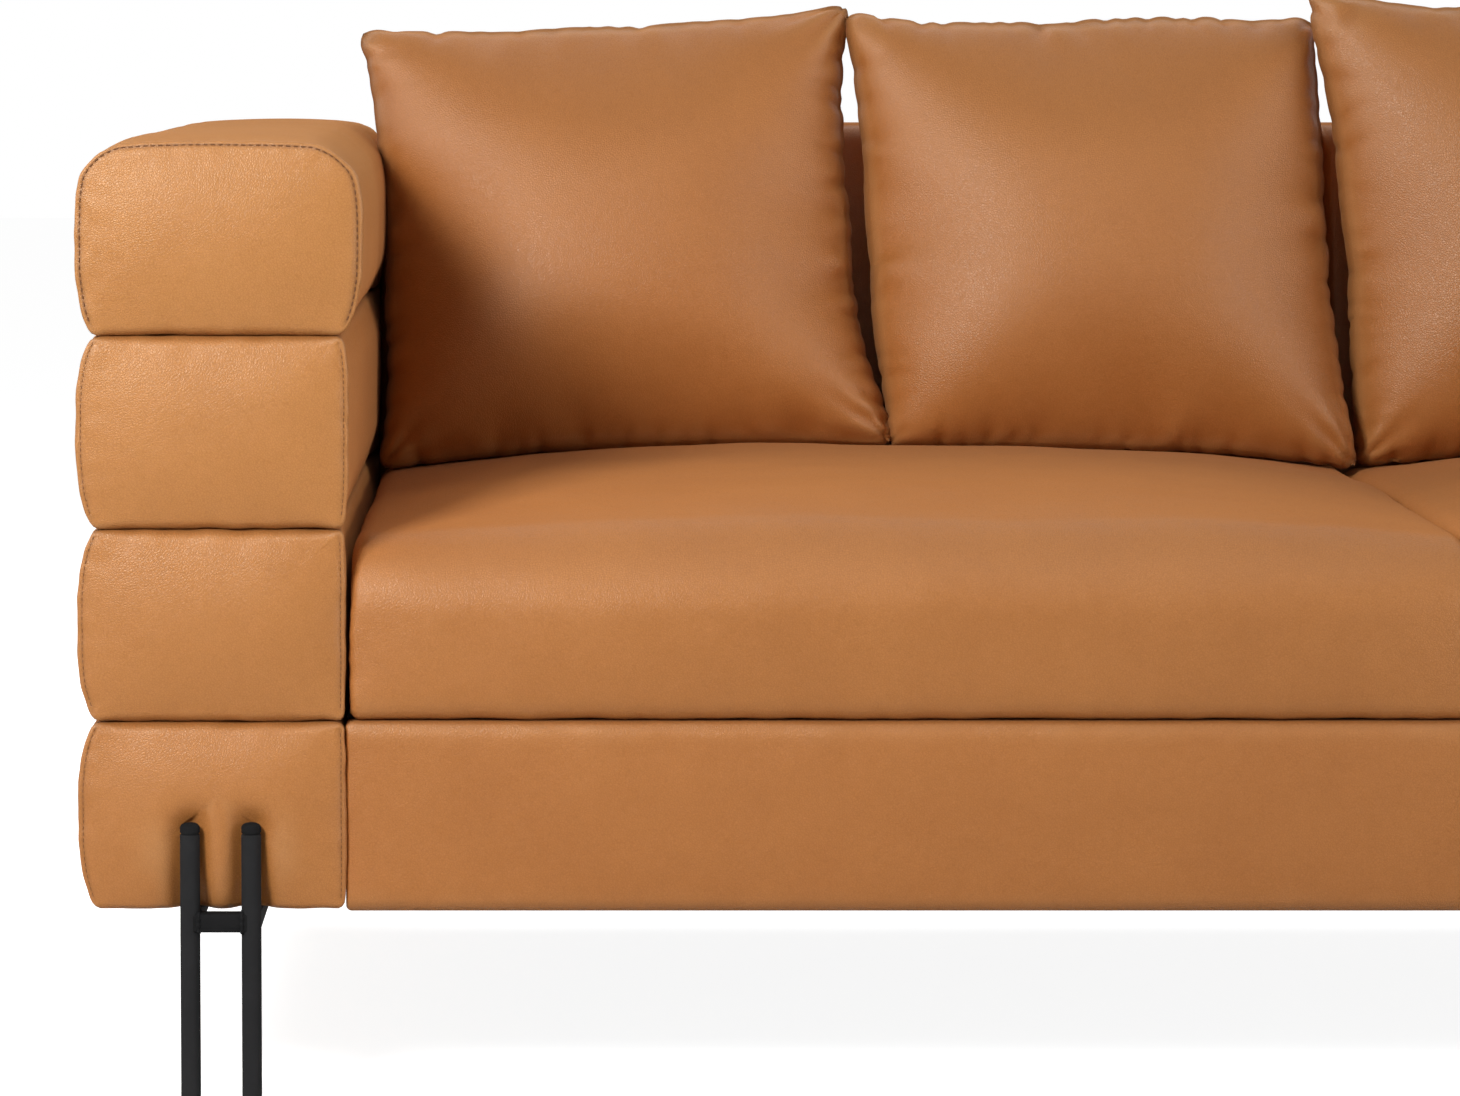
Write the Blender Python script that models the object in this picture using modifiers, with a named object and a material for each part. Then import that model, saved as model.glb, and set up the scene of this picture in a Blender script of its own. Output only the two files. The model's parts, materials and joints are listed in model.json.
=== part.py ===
"""Three-seater sofa: stacked arm rolls, two loose seat cushions, four loose pillows, twin-rod legs."""

import math

import bmesh
import bpy
from mathutils import Matrix, Vector

# Overall sizes, in metres
WIDTH = 2.106            # over the fullest part of both arms
ARM_DEPTH = 0.800        # arm from front to rear, over its seams
FLOOR_GAP = 0.155        # floor to the underside of the upholstery
BASE_HEIGHT = 0.142      # underside to the seam below the seat cushions
ROLL_PITCH = 0.1455      # seam to seam on the rolls above that
UPPER_ROLLS = 3          # rolls above the lowest one, on each arm
ARM_WIDTH = 0.186        # arm across, from outer seam to inner seam
FIT = 0.0003             # gap between pieces that touch

# Arm rolls
ROLL_BULGE = 0.015       # swell of a roll past its seams, on the outer side
ROLL_END_CROWN = 0.008   # swell of a roll past its seams, front and rear
MIDDLE_ROLL_BULGE = 0.003
TOP_ROLL_BULGE = 0.008   # inner swell of the top roll
TOP_ROLL_CROWN = 0.004
TOP_ROLL_TRIM = 0.005    # top roll lower than the ones below it
ROLL_EDGE = 0.010
ROLL_CORNER = 0.020
TOP_ROLL_EDGE = 0.032

# Arm frames and the cleats and bolts that hold them to the base
FRAME_WIDTH = 0.104
FRAME_INSET = 0.050      # frame to the arm's front and rear seams
FRAME_TOP_PAD = 0.036
PLY = 0.018
WINDOW_LENGTH = 0.150
WINDOW_HEIGHT = 0.072
WINDOW_COLUMNS = 3
CLEAT_LENGTH = 0.560
CLEAT_MARGIN = 0.024
BOLT_RADIUS = 0.004
BOLT_HEAD_RADIUS = 0.0075
BOLT_HEAD_HEIGHT = 0.0055
BOLT_TAIL = 0.010
BOLT_INSET = 0.080       # bolt to the near end of the cleat

# Legs
ROD_RADIUS = 0.0075
ROD_SPACING = 0.046
ROD_OUTSET = 0.009       # rod axis in front of the arm's front seam
ROD_RISE = 0.068         # rod top above the underside of the upholstery
ROD_DOME = 0.003
BAR = 0.014              # square bar of the crossbars and bearers
GLIDE_LIP = 0.001
GLIDE_HEIGHT = 0.005
SPIGOT_RADIUS = 0.003
SPIGOT_LENGTH = 0.012

# Base
BOARD = 0.025
BOARD_EDGE = 0.002
APRON_INSET = 0.004
APRON_DEPTH = 0.026
APRON_CROWN = 0.004
DUST_RISE = 0.005        # underside of the upholstery to the base boards
CLOTH = 0.0016
WEB = 0.0025
WEB_WIDTH = 0.060
WEBS_ALONG = 5
WEBS_ACROSS = 3

# Back
BACK_RECESS = 0.012
OUTSIDE_BACK = 0.012
BACK_FRAME = 0.040
BACK_RIB = 0.045
BACK_RIBS = 4
BACK_TOP_PAD = 0.035
PAD_DEPTH = 0.148        # thickness of the back pad at the deck
PAD_LEAN = math.radians(9.7)
PAD_EDGE = 0.026

# Seat cushions
SEAT_EDGE_HEIGHT = 0.136
SEAT_CROWN = 0.027
SEAT_FRONT_CROWN = 0.010
SEAT_DRAW_IN = 0.004
SEAT_SIDE_GAP = 0.0045
SEAT_MIDDLE_GAP = 0.001
SEAT_TOP_EDGE = 0.030
SEAT_EDGE = 0.014
CORE_INSET = 0.038
CORE_COVER = 0.022
ZIP_LENGTH = 0.560
ZIP_HEIGHT = 0.024

# Loose pillows
PILLOW_HEIGHT = 0.420
PILLOW_THICKNESS = 0.165
PILLOW_DRAW_IN = 0.012
PILLOW_GAP = 0.002
PILLOW_EAR = 0.010       # top corner of the first pillow past the side of the arm
PILLOW_SINK = 0.007      # how far a pillow settles into the seat
PILLOW_PRESS = 0.014     # how far a pillow is pressed flat by the back
PILLOW_LEANS = (17.0, 16.0, 8.0, 15.0)
PILLOW_TILTS = (2.6, 1.5, 3.0, 1.0)

SIDE_FULLNESS = 2.4      # how full a swell stays before it falls to a seam
SMOOTH_ANGLE = math.radians(38.0)

# Places worked out from the sizes above
arm_outer_x = WIDTH / 2 - ROLL_BULGE
arm_inner_x = arm_outer_x - ARM_WIDTH
arm_centre_x = (arm_outer_x + arm_inner_x) / 2
front_y = -ARM_DEPTH / 2
rear_y = ARM_DEPTH / 2
base_z = FLOOR_GAP
seat_seam_z = base_z + BASE_HEIGHT
back_top_z = seat_seam_z + UPPER_ROLLS * ROLL_PITCH
arm_top_z = back_top_z - TOP_ROLL_TRIM

deck_top_z = seat_seam_z - FIT
web_top_z = deck_top_z - CLOTH - FIT
board_top_z = web_top_z - WEB - FIT
board_low_z = base_z + DUST_RISE

apron_rear_y = front_y + APRON_INSET + APRON_DEPTH
outside_rear_y = rear_y - BACK_RECESS
outside_front_y = outside_rear_y - OUTSIDE_BACK
back_rear_y = outside_front_y - FIT
back_front_y = back_rear_y - BACK_FRAME
back_frame_top_z = back_top_z - BACK_TOP_PAD
pad_front_y = back_front_y - PAD_DEPTH
back_reach = arm_inner_x - FIT

frame_inner_x = arm_centre_x - FRAME_WIDTH / 2
frame_outer_x = arm_centre_x + FRAME_WIDTH / 2
frame_half_depth = ARM_DEPTH / 2 - FRAME_INSET
frame_top_z = arm_top_z - FRAME_TOP_PAD
cleat_low_z = base_z + CLEAT_MARGIN
cleat_high_z = seat_seam_z - CLEAT_MARGIN
bolt_z = (cleat_low_z + cleat_high_z) / 2
bolt_head_x = arm_inner_x - FIT - BOARD - FIT

rod_y = ARM_DEPTH / 2 + ROD_OUTSET
rod_xs = (arm_centre_x - ROD_SPACING / 2, arm_centre_x + ROD_SPACING / 2)
rod_low_z = GLIDE_HEIGHT + FIT
rod_top_z = base_z + ROD_RISE
bar_top_z = base_z - FIT

seat_low = Vector((SEAT_MIDDLE_GAP, front_y + APRON_INSET, seat_seam_z))
seat_high = Vector((arm_inner_x - SEAT_SIDE_GAP, pad_front_y - FIT, seat_seam_z + SEAT_EDGE_HEIGHT))
seat_middle = (seat_low + seat_high) / 2

faces_in_order = ["left", "right", "front", "rear", "bottom", "top"]
face_places = {name: (order // 2, 2 * (order % 2) - 1) for order, name in enumerate(faces_in_order)}


def clear_scene():
    """Takes away whatever is in the scene before the sofa is built."""
    for obj in list(bpy.data.objects):
        bpy.data.objects.remove(obj, do_unlink=True)


def make_collection(name):
    """A new collection linked to the scene."""
    collection = bpy.data.collections.new(name)
    bpy.context.scene.collection.children.link(collection)
    return collection


def make_material(name, colour, roughness, metallic=0.0):
    """A plain surface with its own colour, roughness and metallic value."""
    material = bpy.data.materials.new(name)
    material.use_nodes = True
    shader = material.node_tree.nodes["Principled BSDF"]
    shader.inputs["Base Color"].default_value = (*colour, 1.0)
    shader.inputs["Roughness"].default_value = roughness
    shader.inputs["Metallic"].default_value = metallic
    return material


clear_scene()
sofa = make_collection("three_seater_sofa")
cutters = make_collection("cutters")

leather = make_material("tan_leather", (0.42, 0.17, 0.055), 0.5)
black_steel = make_material("black_steel", (0.02, 0.02, 0.02), 0.4, 0.6)
zinc_steel = make_material("zinc_steel", (0.55, 0.55, 0.56), 0.35, 1.0)
plywood = make_material("plywood", (0.62, 0.45, 0.27), 0.7)
foam = make_material("foam", (0.82, 0.78, 0.66), 0.95)
webbing = make_material("webbing", (0.16, 0.13, 0.10), 0.9)
black_cloth = make_material("black_cloth", (0.03, 0.03, 0.03), 0.95)
black_plastic = make_material("black_plastic", (0.03, 0.03, 0.03), 0.5)


def span(side, near, far):
    """Low and high value of a range given on the right-hand side, for either side."""
    return min(side * near, side * far), max(side * near, side * far)


def finish(name, shape, place, material, smooth=False):
    """Turns a shape into a named piece; without a material it is a cutter."""
    mesh = bpy.data.meshes.new(name)
    bmesh.ops.recalc_face_normals(shape, faces=shape.faces[:])
    shape.to_mesh(mesh)
    shape.free()
    obj = bpy.data.objects.new(name, mesh)
    obj.location = place
    if material is None:
        cutters.objects.link(obj)
        obj.hide_render = True
        obj.display_type = "WIRE"
    else:
        sofa.objects.link(obj)
        mesh.materials.append(material)
    if smooth:
        mesh.shade_smooth()
        mesh.set_sharp_from_angle(angle=SMOOTH_ANGLE)
    return obj


def add_bevel(obj, width, segments):
    """Eases the sharp edges of a piece."""
    bevel = obj.modifiers.new("eased edges", "BEVEL")
    bevel.width = width
    bevel.segments = segments
    bevel.limit_method = "ANGLE"
    bevel.angle_limit = math.radians(40.0)
    return bevel


def combine(obj, other, operation):
    """Cuts another shape out of a piece, or joins it on."""
    boolean = obj.modifiers.new(operation.lower(), "BOOLEAN")
    boolean.operation = operation
    boolean.solver = "EXACT"
    boolean.object = other


def settle_faces(obj):
    """Gives every bent face of a form one definite surface before it is cut."""
    settled = obj.modifiers.new("settled faces", "TRIANGULATE")
    settled.quad_method = "FIXED"


def add_box(name, low, high, material, edge=0.0):
    """A board between two corners, with eased edges."""
    low = Vector(low)
    high = Vector(high)
    shape = bmesh.new()
    bmesh.ops.create_cube(shape, size=1.0, matrix=Matrix.Diagonal((*(high - low), 1.0)))
    obj = finish(name, shape, (low + high) / 2, material)
    if edge:
        add_bevel(obj, edge, 1)
    return obj


def add_rod(name, radius, low, high, axis, material, sides=16):
    """A round bar along one axis, from its low end to its high end."""
    low = Vector(low)
    high = Vector(high)
    turn = Matrix.Rotation(math.pi / 2, 4, "Y" if axis == "X" else "X")
    if axis == "Z":
        turn = Matrix.Identity(4)
    shape = bmesh.new()
    bmesh.ops.create_cone(shape, cap_ends=True, segments=sides, radius1=radius, radius2=radius,
                          depth=(high - low).length, matrix=turn)
    return finish(name, shape, (low + high) / 2, material, smooth=True)


def add_turned(name, profile, place, material, steps):
    """A turned piece: a profile of radius and height, top to bottom, swept about its axis."""
    shape = bmesh.new()
    points = [shape.verts.new((radius, 0.0, height)) for radius, height in profile]
    for first, second in zip(points, points[1:]):
        shape.edges.new((first, second))
    obj = finish(name, shape, place, material)
    screw = obj.modifiers.new("turned", "SCREW")
    screw.axis = "Z"
    screw.angle = 2 * math.pi
    screw.steps = steps
    screw.render_steps = steps
    screw.use_merge_vertices = True
    screw.merge_threshold = 0.00001
    screw.use_smooth_shade = True
    return obj


def faces_at(unit):
    """Names of a block's outer faces that hold a point, given in units of its half sizes."""
    return [name for name, (axis, side) in face_places.items() if abs(unit[axis] - side) < 1e-5]


def soft_block(name, low, high, bays, crown, rounding, material, lean=0.0, segments=2):
    """A stuffed block: its faces swell between the seams and its edges are rounded.

    The crown holds a height for each face that swells, and how full the swell stays along
    each axis; along an axis marked None it runs right through. The rounding holds a radius
    for any edge, and others for edges named by their two faces.
    """
    low = Vector(low)
    high = Vector(high)
    size = high - low
    shape = bmesh.new()
    bmesh.ops.create_cube(shape, size=1.0, matrix=Matrix.Diagonal((*size, 1.0)))
    for axis, count in enumerate(bays):
        normal = Vector((0.0, 0.0, 0.0))
        normal[axis] = 1.0
        for bay in range(1, count):
            everything = shape.verts[:] + shape.edges[:] + shape.faces[:]
            place = normal * size[axis] * (bay / count - 0.5)
            bmesh.ops.bisect_plane(shape, geom=everything, plane_co=place, plane_no=normal)
    shape.verts.index_update()
    units = [[2 * vert.co[axis] / size[axis] for axis in range(3)] for vert in shape.verts]
    held = [faces_at(unit) for unit in units]
    widest = max(rounding.values())
    weights = shape.edges.layers.float.new("bevel_weight_edge")
    for edge in shape.edges:
        shared = [face for face in held[edge.verts[0].index] if face in held[edge.verts[1].index]]
        if len(shared) == 2:
            radius = rounding.get(tuple(shared), rounding["any"])
            edge[weights] = radius / widest
    for vert, unit, names in zip(shape.verts, units, held):
        for face in names:
            axis, side = face_places[face]
            swell, fullness = crown.get(face, (0.0, (None, None, None)))
            for other, full in enumerate(fullness):
                if full is not None:
                    swell *= 1.0 - abs(unit[other]) ** full
            vert.co[axis] += side * swell
        if "front" in names:
            vert.co.y += (unit[2] + 1.0) / 2 * size.z * math.tan(lean)
    obj = finish(name, shape, (low + high) / 2, material, smooth=True)
    bevel = obj.modifiers.new("rounded seams", "BEVEL")
    bevel.limit_method = "WEIGHT"
    bevel.width = widest
    bevel.segments = segments
    settle_faces(obj)
    return obj


def make_leg(name, side, end):
    """Two round rods joined by a crossbar, with a plastic glide in the foot of each."""
    hole = SPIGOT_RADIUS + FIT
    profile = [
        (0.0, rod_top_z),
        (ROD_RADIUS - 2 * ROD_DOME / 3, rod_top_z - ROD_DOME / 6),
        (ROD_RADIUS, rod_top_z - ROD_DOME),
        (ROD_RADIUS, rod_low_z),
        (hole, rod_low_z),
        (hole, rod_low_z + SPIGOT_LENGTH),
        (0.0, rod_low_z + SPIGOT_LENGTH),
    ]
    glide = [
        (0.0, GLIDE_HEIGHT + SPIGOT_LENGTH - FIT),
        (SPIGOT_RADIUS, GLIDE_HEIGHT + SPIGOT_LENGTH - FIT),
        (SPIGOT_RADIUS, GLIDE_HEIGHT),
        (ROD_RADIUS + GLIDE_LIP, GLIDE_HEIGHT),
        (ROD_RADIUS + GLIDE_LIP, 0.0),
        (0.0, 0.0),
    ]
    near, far = [Vector((side * x, end * rod_y, 0.0)) for x in rod_xs]
    leg = add_turned(name, profile, near, black_steel, 16)
    combine(leg, add_turned(name + "_far_rod", profile, far, None, 16), "UNION")
    bar_low = Vector((min(near.x, far.x), near.y - BAR / 2, bar_top_z - BAR))
    bar_high = Vector((max(near.x, far.x), near.y + BAR / 2, bar_top_z))
    combine(leg, add_box(name + "_bar", bar_low, bar_high, None), "UNION")
    add_turned(name + "_inner_glide", glide, near, black_plastic, 12)
    add_turned(name + "_outer_glide", glide, far, black_plastic, 12)


def make_bearers(name, side):
    """The two square bars that run back under an arm, from leg to leg."""
    reach = rod_y - ROD_RADIUS - FIT
    for place, x in zip(("inner", "outer"), rod_xs):
        low = (side * x - BAR / 2, -reach, bar_top_z - BAR)
        high = (side * x + BAR / 2, reach, bar_top_z)
        add_box(f"{name}_{place}_bearer", low, high, black_steel)


def make_arm_frame(name, side):
    """A plywood box with hand holes through its sides, and holes for its bolts."""
    x_low, x_high = span(side, frame_inner_x, frame_outer_x)
    low = Vector((x_low, -frame_half_depth, base_z))
    high = Vector((x_high, frame_half_depth, frame_top_z))
    frame = add_box(name, low, high, plywood)
    wall = Vector((PLY, PLY, PLY))
    combine(frame, add_box(name + "_hollow", low + wall, high - wall, None), "DIFFERENCE")
    pitch = (2 * frame_half_depth - 2 * PLY) / WINDOW_COLUMNS
    for roll in range(UPPER_ROLLS):
        height = WINDOW_HEIGHT if roll < UPPER_ROLLS - 1 else WINDOW_HEIGHT - FRAME_TOP_PAD / 2
        centre_z = seat_seam_z + (roll + 0.5) * ROLL_PITCH - (WINDOW_HEIGHT - height) / 2
        for column in range(WINDOW_COLUMNS):
            centre_y = (column - (WINDOW_COLUMNS - 1) / 2) * pitch
            hole_low = (x_low - PLY, centre_y - WINDOW_LENGTH / 2, centre_z - height / 2)
            hole_high = (x_high + PLY, centre_y + WINDOW_LENGTH / 2, centre_z + height / 2)
            window = add_box(f"{name}_window_{roll}_{column}", hole_low, hole_high, None)
            combine(frame, window, "DIFFERENCE")
    return frame


def make_roll(name, side, number, pocket, back_place):
    """One stuffed roll of an arm, drawn in at its seams and hollow for the frame."""
    z_low = base_z if number == 0 else seat_seam_z + (number - 1) * ROLL_PITCH + FIT
    z_high = arm_top_z if number == UPPER_ROLLS else seat_seam_z + number * ROLL_PITCH
    x_low, x_high = span(side, arm_inner_x, arm_outer_x)
    top = number == UPPER_ROLLS
    outer, inner = ("left", "right") if side < 0 else ("right", "left")
    inner_bulge = 0.0
    if top:
        inner_bulge = TOP_ROLL_BULGE
    elif number > 1:
        inner_bulge = MIDDLE_ROLL_BULGE
    round_side = (None, None, SIDE_FULLNESS)
    round_end = (SIDE_FULLNESS, None, SIDE_FULLNESS)
    crown = {
        outer: (ROLL_BULGE, round_side),
        inner: (inner_bulge, round_side),
        "front": (ROLL_END_CROWN, round_end),
        "rear": (ROLL_END_CROWN, round_end),
    }
    rounding = {"any": ROLL_EDGE}
    for beside in ("left", "right"):
        for end in ("front", "rear"):
            rounding[(beside, end)] = ROLL_CORNER
    if number < 2:
        for end in ("front", "rear", "bottom", "top"):
            rounding[(inner, end)] = ROLL_EDGE / 3
    if top:
        crown["top"] = (TOP_ROLL_CROWN, (SIDE_FULLNESS, None, None))
        for beside in ("left", "right"):
            rounding[(beside, "top")] = TOP_ROLL_EDGE
        for end in ("front", "rear"):
            rounding[(end, "top")] = TOP_ROLL_EDGE / 2
    roll = soft_block(name, (x_low, front_y, z_low), (x_high, rear_y, z_high), (4, 1, 4),
                      crown, rounding, leather, segments=3 if top else 2)
    combine(roll, pocket, "DIFFERENCE")
    if number > 1:
        combine(roll, back_place, "DIFFERENCE")
    return roll


def make_arm(name, side):
    """An arm: plywood frame, four rolls round it, and the cleat and bolts to the base."""
    frame = make_arm_frame(name + "_frame", side)
    gap = Vector((FIT, FIT, FIT))
    x_low, x_high = span(side, frame_inner_x, frame_outer_x)
    pocket_low = Vector((x_low, -frame_half_depth, base_z - FLOOR_GAP / 2)) - gap
    pocket_high = Vector((x_high, frame_half_depth, frame_top_z)) + gap
    pocket = add_box(name + "_pocket", pocket_low, pocket_high, None)
    x_low, x_high = span(side, 0.0, arm_inner_x)
    back_place = soft_block(name + "_back_place", (x_low, pad_front_y - FIT, seat_seam_z),
                            (x_high, rear_y + ROD_OUTSET, back_top_z + ROLL_BULGE), (1, 1, 1), {},
                            {"any": BOARD_EDGE}, None, lean=PAD_LEAN)
    rolls = [make_roll(f"{name}_roll_{number + 1}", side, number, pocket, back_place)
             for number in range(UPPER_ROLLS + 1)]

    x_low, x_high = span(side, arm_inner_x, frame_inner_x - FIT)
    low = Vector((x_low, -CLEAT_LENGTH / 2, cleat_low_z))
    high = Vector((x_high, CLEAT_LENGTH / 2, cleat_high_z))
    cleat = add_box(name + "_cleat", low, high, plywood)
    x_low, x_high = span(side, arm_inner_x - BOARD / 2, frame_inner_x + PLY / 2)
    recess_low = Vector((x_low, low.y, low.z)) - gap
    recess_high = Vector((x_high, high.y, high.z)) + gap
    combine(rolls[0], add_box(name + "_recess", recess_low, recess_high, None), "DIFFERENCE")

    rail_low_x, rail_high_x = span(side, arm_inner_x - FIT - BOARD, arm_inner_x - FIT)
    rail = add_box(name.replace("arm", "base_board"),
                   (rail_low_x, apron_rear_y + BOARD + 2 * FIT, board_low_z),
                   (rail_high_x, back_front_y - BOARD - 2 * FIT, board_top_z), plywood)

    tail_x = frame_inner_x + PLY + BOLT_TAIL
    for place, end in (("front", -1), ("rear", 1)):
        y = end * (CLEAT_LENGTH / 2 - BOLT_INSET)
        head_low, head_high = span(side, bolt_head_x - BOLT_HEAD_HEIGHT, bolt_head_x)
        shank_low, shank_high = span(side, bolt_head_x - BOLT_HEAD_HEIGHT / 2, tail_x)
        bore_low, bore_high = span(side, bolt_head_x - BOLT_HEAD_HEIGHT, tail_x + BOLT_TAIL)
        bolt = add_rod(f"{name}_{place}_bolt", BOLT_HEAD_RADIUS, (head_low, y, bolt_z),
                       (head_high, y, bolt_z), "X", zinc_steel, sides=6)
        shank = add_rod(f"{name}_{place}_shank", BOLT_RADIUS, (shank_low, y, bolt_z),
                        (shank_high, y, bolt_z), "X", None, sides=12)
        combine(bolt, shank, "UNION")
        bore = add_rod(f"{name}_{place}_bore", BOLT_RADIUS + FIT, (bore_low, y, bolt_z),
                       (bore_high, y, bolt_z), "X", None, sides=12)
        for piece in (rail, cleat, frame):
            combine(piece, bore, "DIFFERENCE")

    for end in (-1, 1):
        for number, x in enumerate(rod_xs):
            foot = (side * x, end * rod_y, base_z - ROD_RISE)
            head = (side * x, end * rod_y, rod_top_z + FIT)
            groove = add_rod(f"{name}_groove_{end}_{number}", ROD_RADIUS + FIT, foot, head, "Z", None)
            combine(rolls[0], groove, "DIFFERENCE")


def make_base():
    """Boards of the base, the padded apron, the webbing, the deck cloth and the dust cover."""
    reach = arm_inner_x - FIT
    add_box("base_board_front", (-reach, apron_rear_y + FIT, board_low_z),
            (reach, apron_rear_y + FIT + BOARD, board_top_z), plywood, BOARD_EDGE)
    add_box("base_board_rear", (-reach, back_front_y - FIT - BOARD, board_low_z),
            (reach, back_front_y - FIT, board_top_z), plywood, BOARD_EDGE)
    add_box("base_board_centre", (-BOARD / 2, apron_rear_y + BOARD + 2 * FIT, board_low_z),
            (BOARD / 2, back_front_y - BOARD - 2 * FIT, board_top_z), plywood, BOARD_EDGE)
    soft_block("front_apron", (-reach, front_y + APRON_INSET, base_z),
               (reach, apron_rear_y, seat_seam_z - FIT), (6, 1, 2),
               {"front": (APRON_CROWN, (8.0, None, SIDE_FULLNESS))},
               {"any": BOARD_EDGE, ("front", "bottom"): ROLL_EDGE / 2, ("front", "top"): ROLL_EDGE / 2},
               leather)
    deck_low_y = apron_rear_y + FIT
    add_box("deck_cloth", (-reach, deck_low_y, deck_top_z - CLOTH),
            (reach, back_front_y - FIT, deck_top_z), black_cloth)
    add_box("dust_cover", (-reach, deck_low_y, board_low_z - FIT - CLOTH),
            (reach, back_rear_y, board_low_z - FIT), black_cloth)
    for name, side in (("left", -1), ("right", 1)):
        x_low, x_high = span(side, FIT, reach)
        make_webbing(name + "_webbing", x_low, x_high, deck_low_y, back_front_y - FIT)


def strap_lines(low, high, count, width):
    """Edges of evenly spread straps between two limits, with both limits, in order."""
    pitch = (high - low) / count
    lines = [low]
    for number in range(count):
        centre = low + (number + 0.5) * pitch
        lines += [centre - width / 2, centre + width / 2]
    return lines + [high]


def make_webbing(name, x_low, x_high, y_low, y_high):
    """Elastic straps that cross in a flat net, with their ends on the base boards."""
    columns = strap_lines(x_low, x_high, WEBS_ALONG, WEB_WIDTH)
    rows = strap_lines(y_low, y_high, WEBS_ACROSS, WEB_WIDTH)
    shape = bmesh.new()
    bmesh.ops.create_grid(shape, x_segments=len(columns) - 1, y_segments=len(rows) - 1, size=1.0)
    for vert in shape.verts:
        column = round((vert.co.x + 1.0) / 2 * (len(columns) - 1))
        row = round((vert.co.y + 1.0) / 2 * (len(rows) - 1))
        vert.co.x = columns[column]
        vert.co.y = rows[row]
    gaps = []
    for face in shape.faces:
        middle = face.calc_center_median()
        across = sum(middle.x > line for line in columns) % 2
        along = sum(middle.y > line for line in rows) % 2
        if across and along:
            gaps.append(face)
    bmesh.ops.delete(shape, geom=gaps, context="FACES")
    net = finish(name, shape, (0.0, 0.0, web_top_z), webbing)
    thickness = net.modifiers.new("strap thickness", "SOLIDIFY")
    thickness.thickness = WEB
    thickness.offset = -1.0


def make_pad(name, side, forward, material):
    """A wedge of padding on the front of the back, a little forward when it is a cutter."""
    x_low, x_high = span(side, FIT, back_reach)
    return soft_block(name, (x_low, pad_front_y - forward, seat_seam_z), (x_high, back_rear_y, back_top_z),
                      (1, 1, 1), {},
                      {"any": BOARD_EDGE, ("front", "top"): PAD_EDGE, ("left", "front"): ROLL_EDGE,
                       ("right", "front"): ROLL_EDGE}, material, lean=PAD_LEAN)


def make_back():
    """The ribbed board of the back, its two pads and the cover of the outside."""
    reach = back_reach
    board = add_box("back_board", (-reach, back_rear_y - PLY, board_low_z),
                    (reach, back_rear_y, back_frame_top_z), plywood)
    pitch = (2 * reach - BACK_RIB) / (BACK_RIBS - 1)
    for number in range(BACK_RIBS):
        x_low = -reach + number * pitch
        rib = add_box(f"back_rib_{number}", (x_low, back_front_y, board_low_z),
                      (x_low + BACK_RIB, back_rear_y - PLY / 2, back_frame_top_z), None)
        combine(board, rib, "UNION")
    room = add_box("back_room", (-WIDTH / 2, back_front_y - FIT, base_z),
                   (WIDTH / 2, back_rear_y + OUTSIDE_BACK, back_frame_top_z + FIT), None)
    for name, side in (("left", -1), ("right", 1)):
        pad = make_pad(name + "_back_pad", side, 0.0, leather)
        combine(pad, room, "DIFFERENCE")
    soft_block("outside_back", (-reach, outside_front_y, base_z), (reach, outside_rear_y, back_top_z),
               (4, 1, 2), {"rear": (BACK_RECESS / 3, (8.0, None, 3.0))}, {"any": BOARD_EDGE}, leather, segments=1)


def seat_height(x, y):
    """Height of the seat's crown above its edge, at a place in plan on the right-hand seat."""
    half = (seat_high - seat_low) / 2
    across = abs((x - seat_middle.x) / half.x)
    along = abs((y - seat_middle.y) / half.y)
    return SEAT_CROWN * max(0.0, 1.0 - across ** SIDE_FULLNESS) * max(0.0, 1.0 - along ** SIDE_FULLNESS)


def make_seat_form(name, side, grow, material):
    """The crowned outside of a seat cushion, a little larger when it is a cutter."""
    x_low, x_high = span(side, seat_low.x - grow, seat_high.x + grow)
    low = (x_low, seat_low.y - grow, seat_low.z + grow)
    high = (x_high, seat_high.y + grow, seat_high.z + grow)
    drawn = (-SEAT_DRAW_IN, (None, SIDE_FULLNESS, SIDE_FULLNESS))
    crown = {
        "top": (SEAT_CROWN, (SIDE_FULLNESS, SIDE_FULLNESS, None)),
        "front": (SEAT_FRONT_CROWN, (8.0, None, SIDE_FULLNESS)),
        "left": drawn,
        "right": drawn,
    }
    rounding = {"any": SEAT_EDGE}
    for beside in ("left", "right", "front", "rear"):
        rounding[(beside, "top")] = SEAT_TOP_EDGE
    return soft_block(name, low, high, (6, 6, 2), crown, rounding, material, segments=3)


def make_seat(name, side):
    """A loose seat cushion: padded cover, foam core and the zip panel across its rear."""
    cover = make_seat_form(name + "_cover", side, 0.0, leather)
    x_low, x_high = span(side, seat_low.x + CORE_INSET, seat_high.x - CORE_INSET)
    low = Vector((x_low, seat_low.y + CORE_INSET, seat_low.z + CORE_COVER))
    high = Vector((x_high, seat_high.y - CORE_INSET, seat_high.z - CORE_COVER))
    gap = Vector((FIT, FIT, FIT))
    add_box(name + "_core", low, high, foam)
    combine(cover, add_box(name + "_hollow", low - gap, high + gap, None), "DIFFERENCE")
    middle = side * seat_middle.x
    zip_low = Vector((middle - ZIP_LENGTH / 2, high.y + 2 * FIT, seat_middle.z - ZIP_HEIGHT / 2))
    zip_high = Vector((middle + ZIP_LENGTH / 2, seat_high.y, seat_middle.z + ZIP_HEIGHT / 2))
    add_box(name + "_zip_panel", zip_low, zip_high, black_cloth)
    mouth_low = zip_low - gap - Vector((0.0, CORE_COVER, 0.0))
    mouth_high = zip_high + gap + Vector((0.0, CORE_COVER, 0.0))
    combine(cover, add_box(name + "_mouth", mouth_low, mouth_high, None), "DIFFERENCE")


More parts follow.
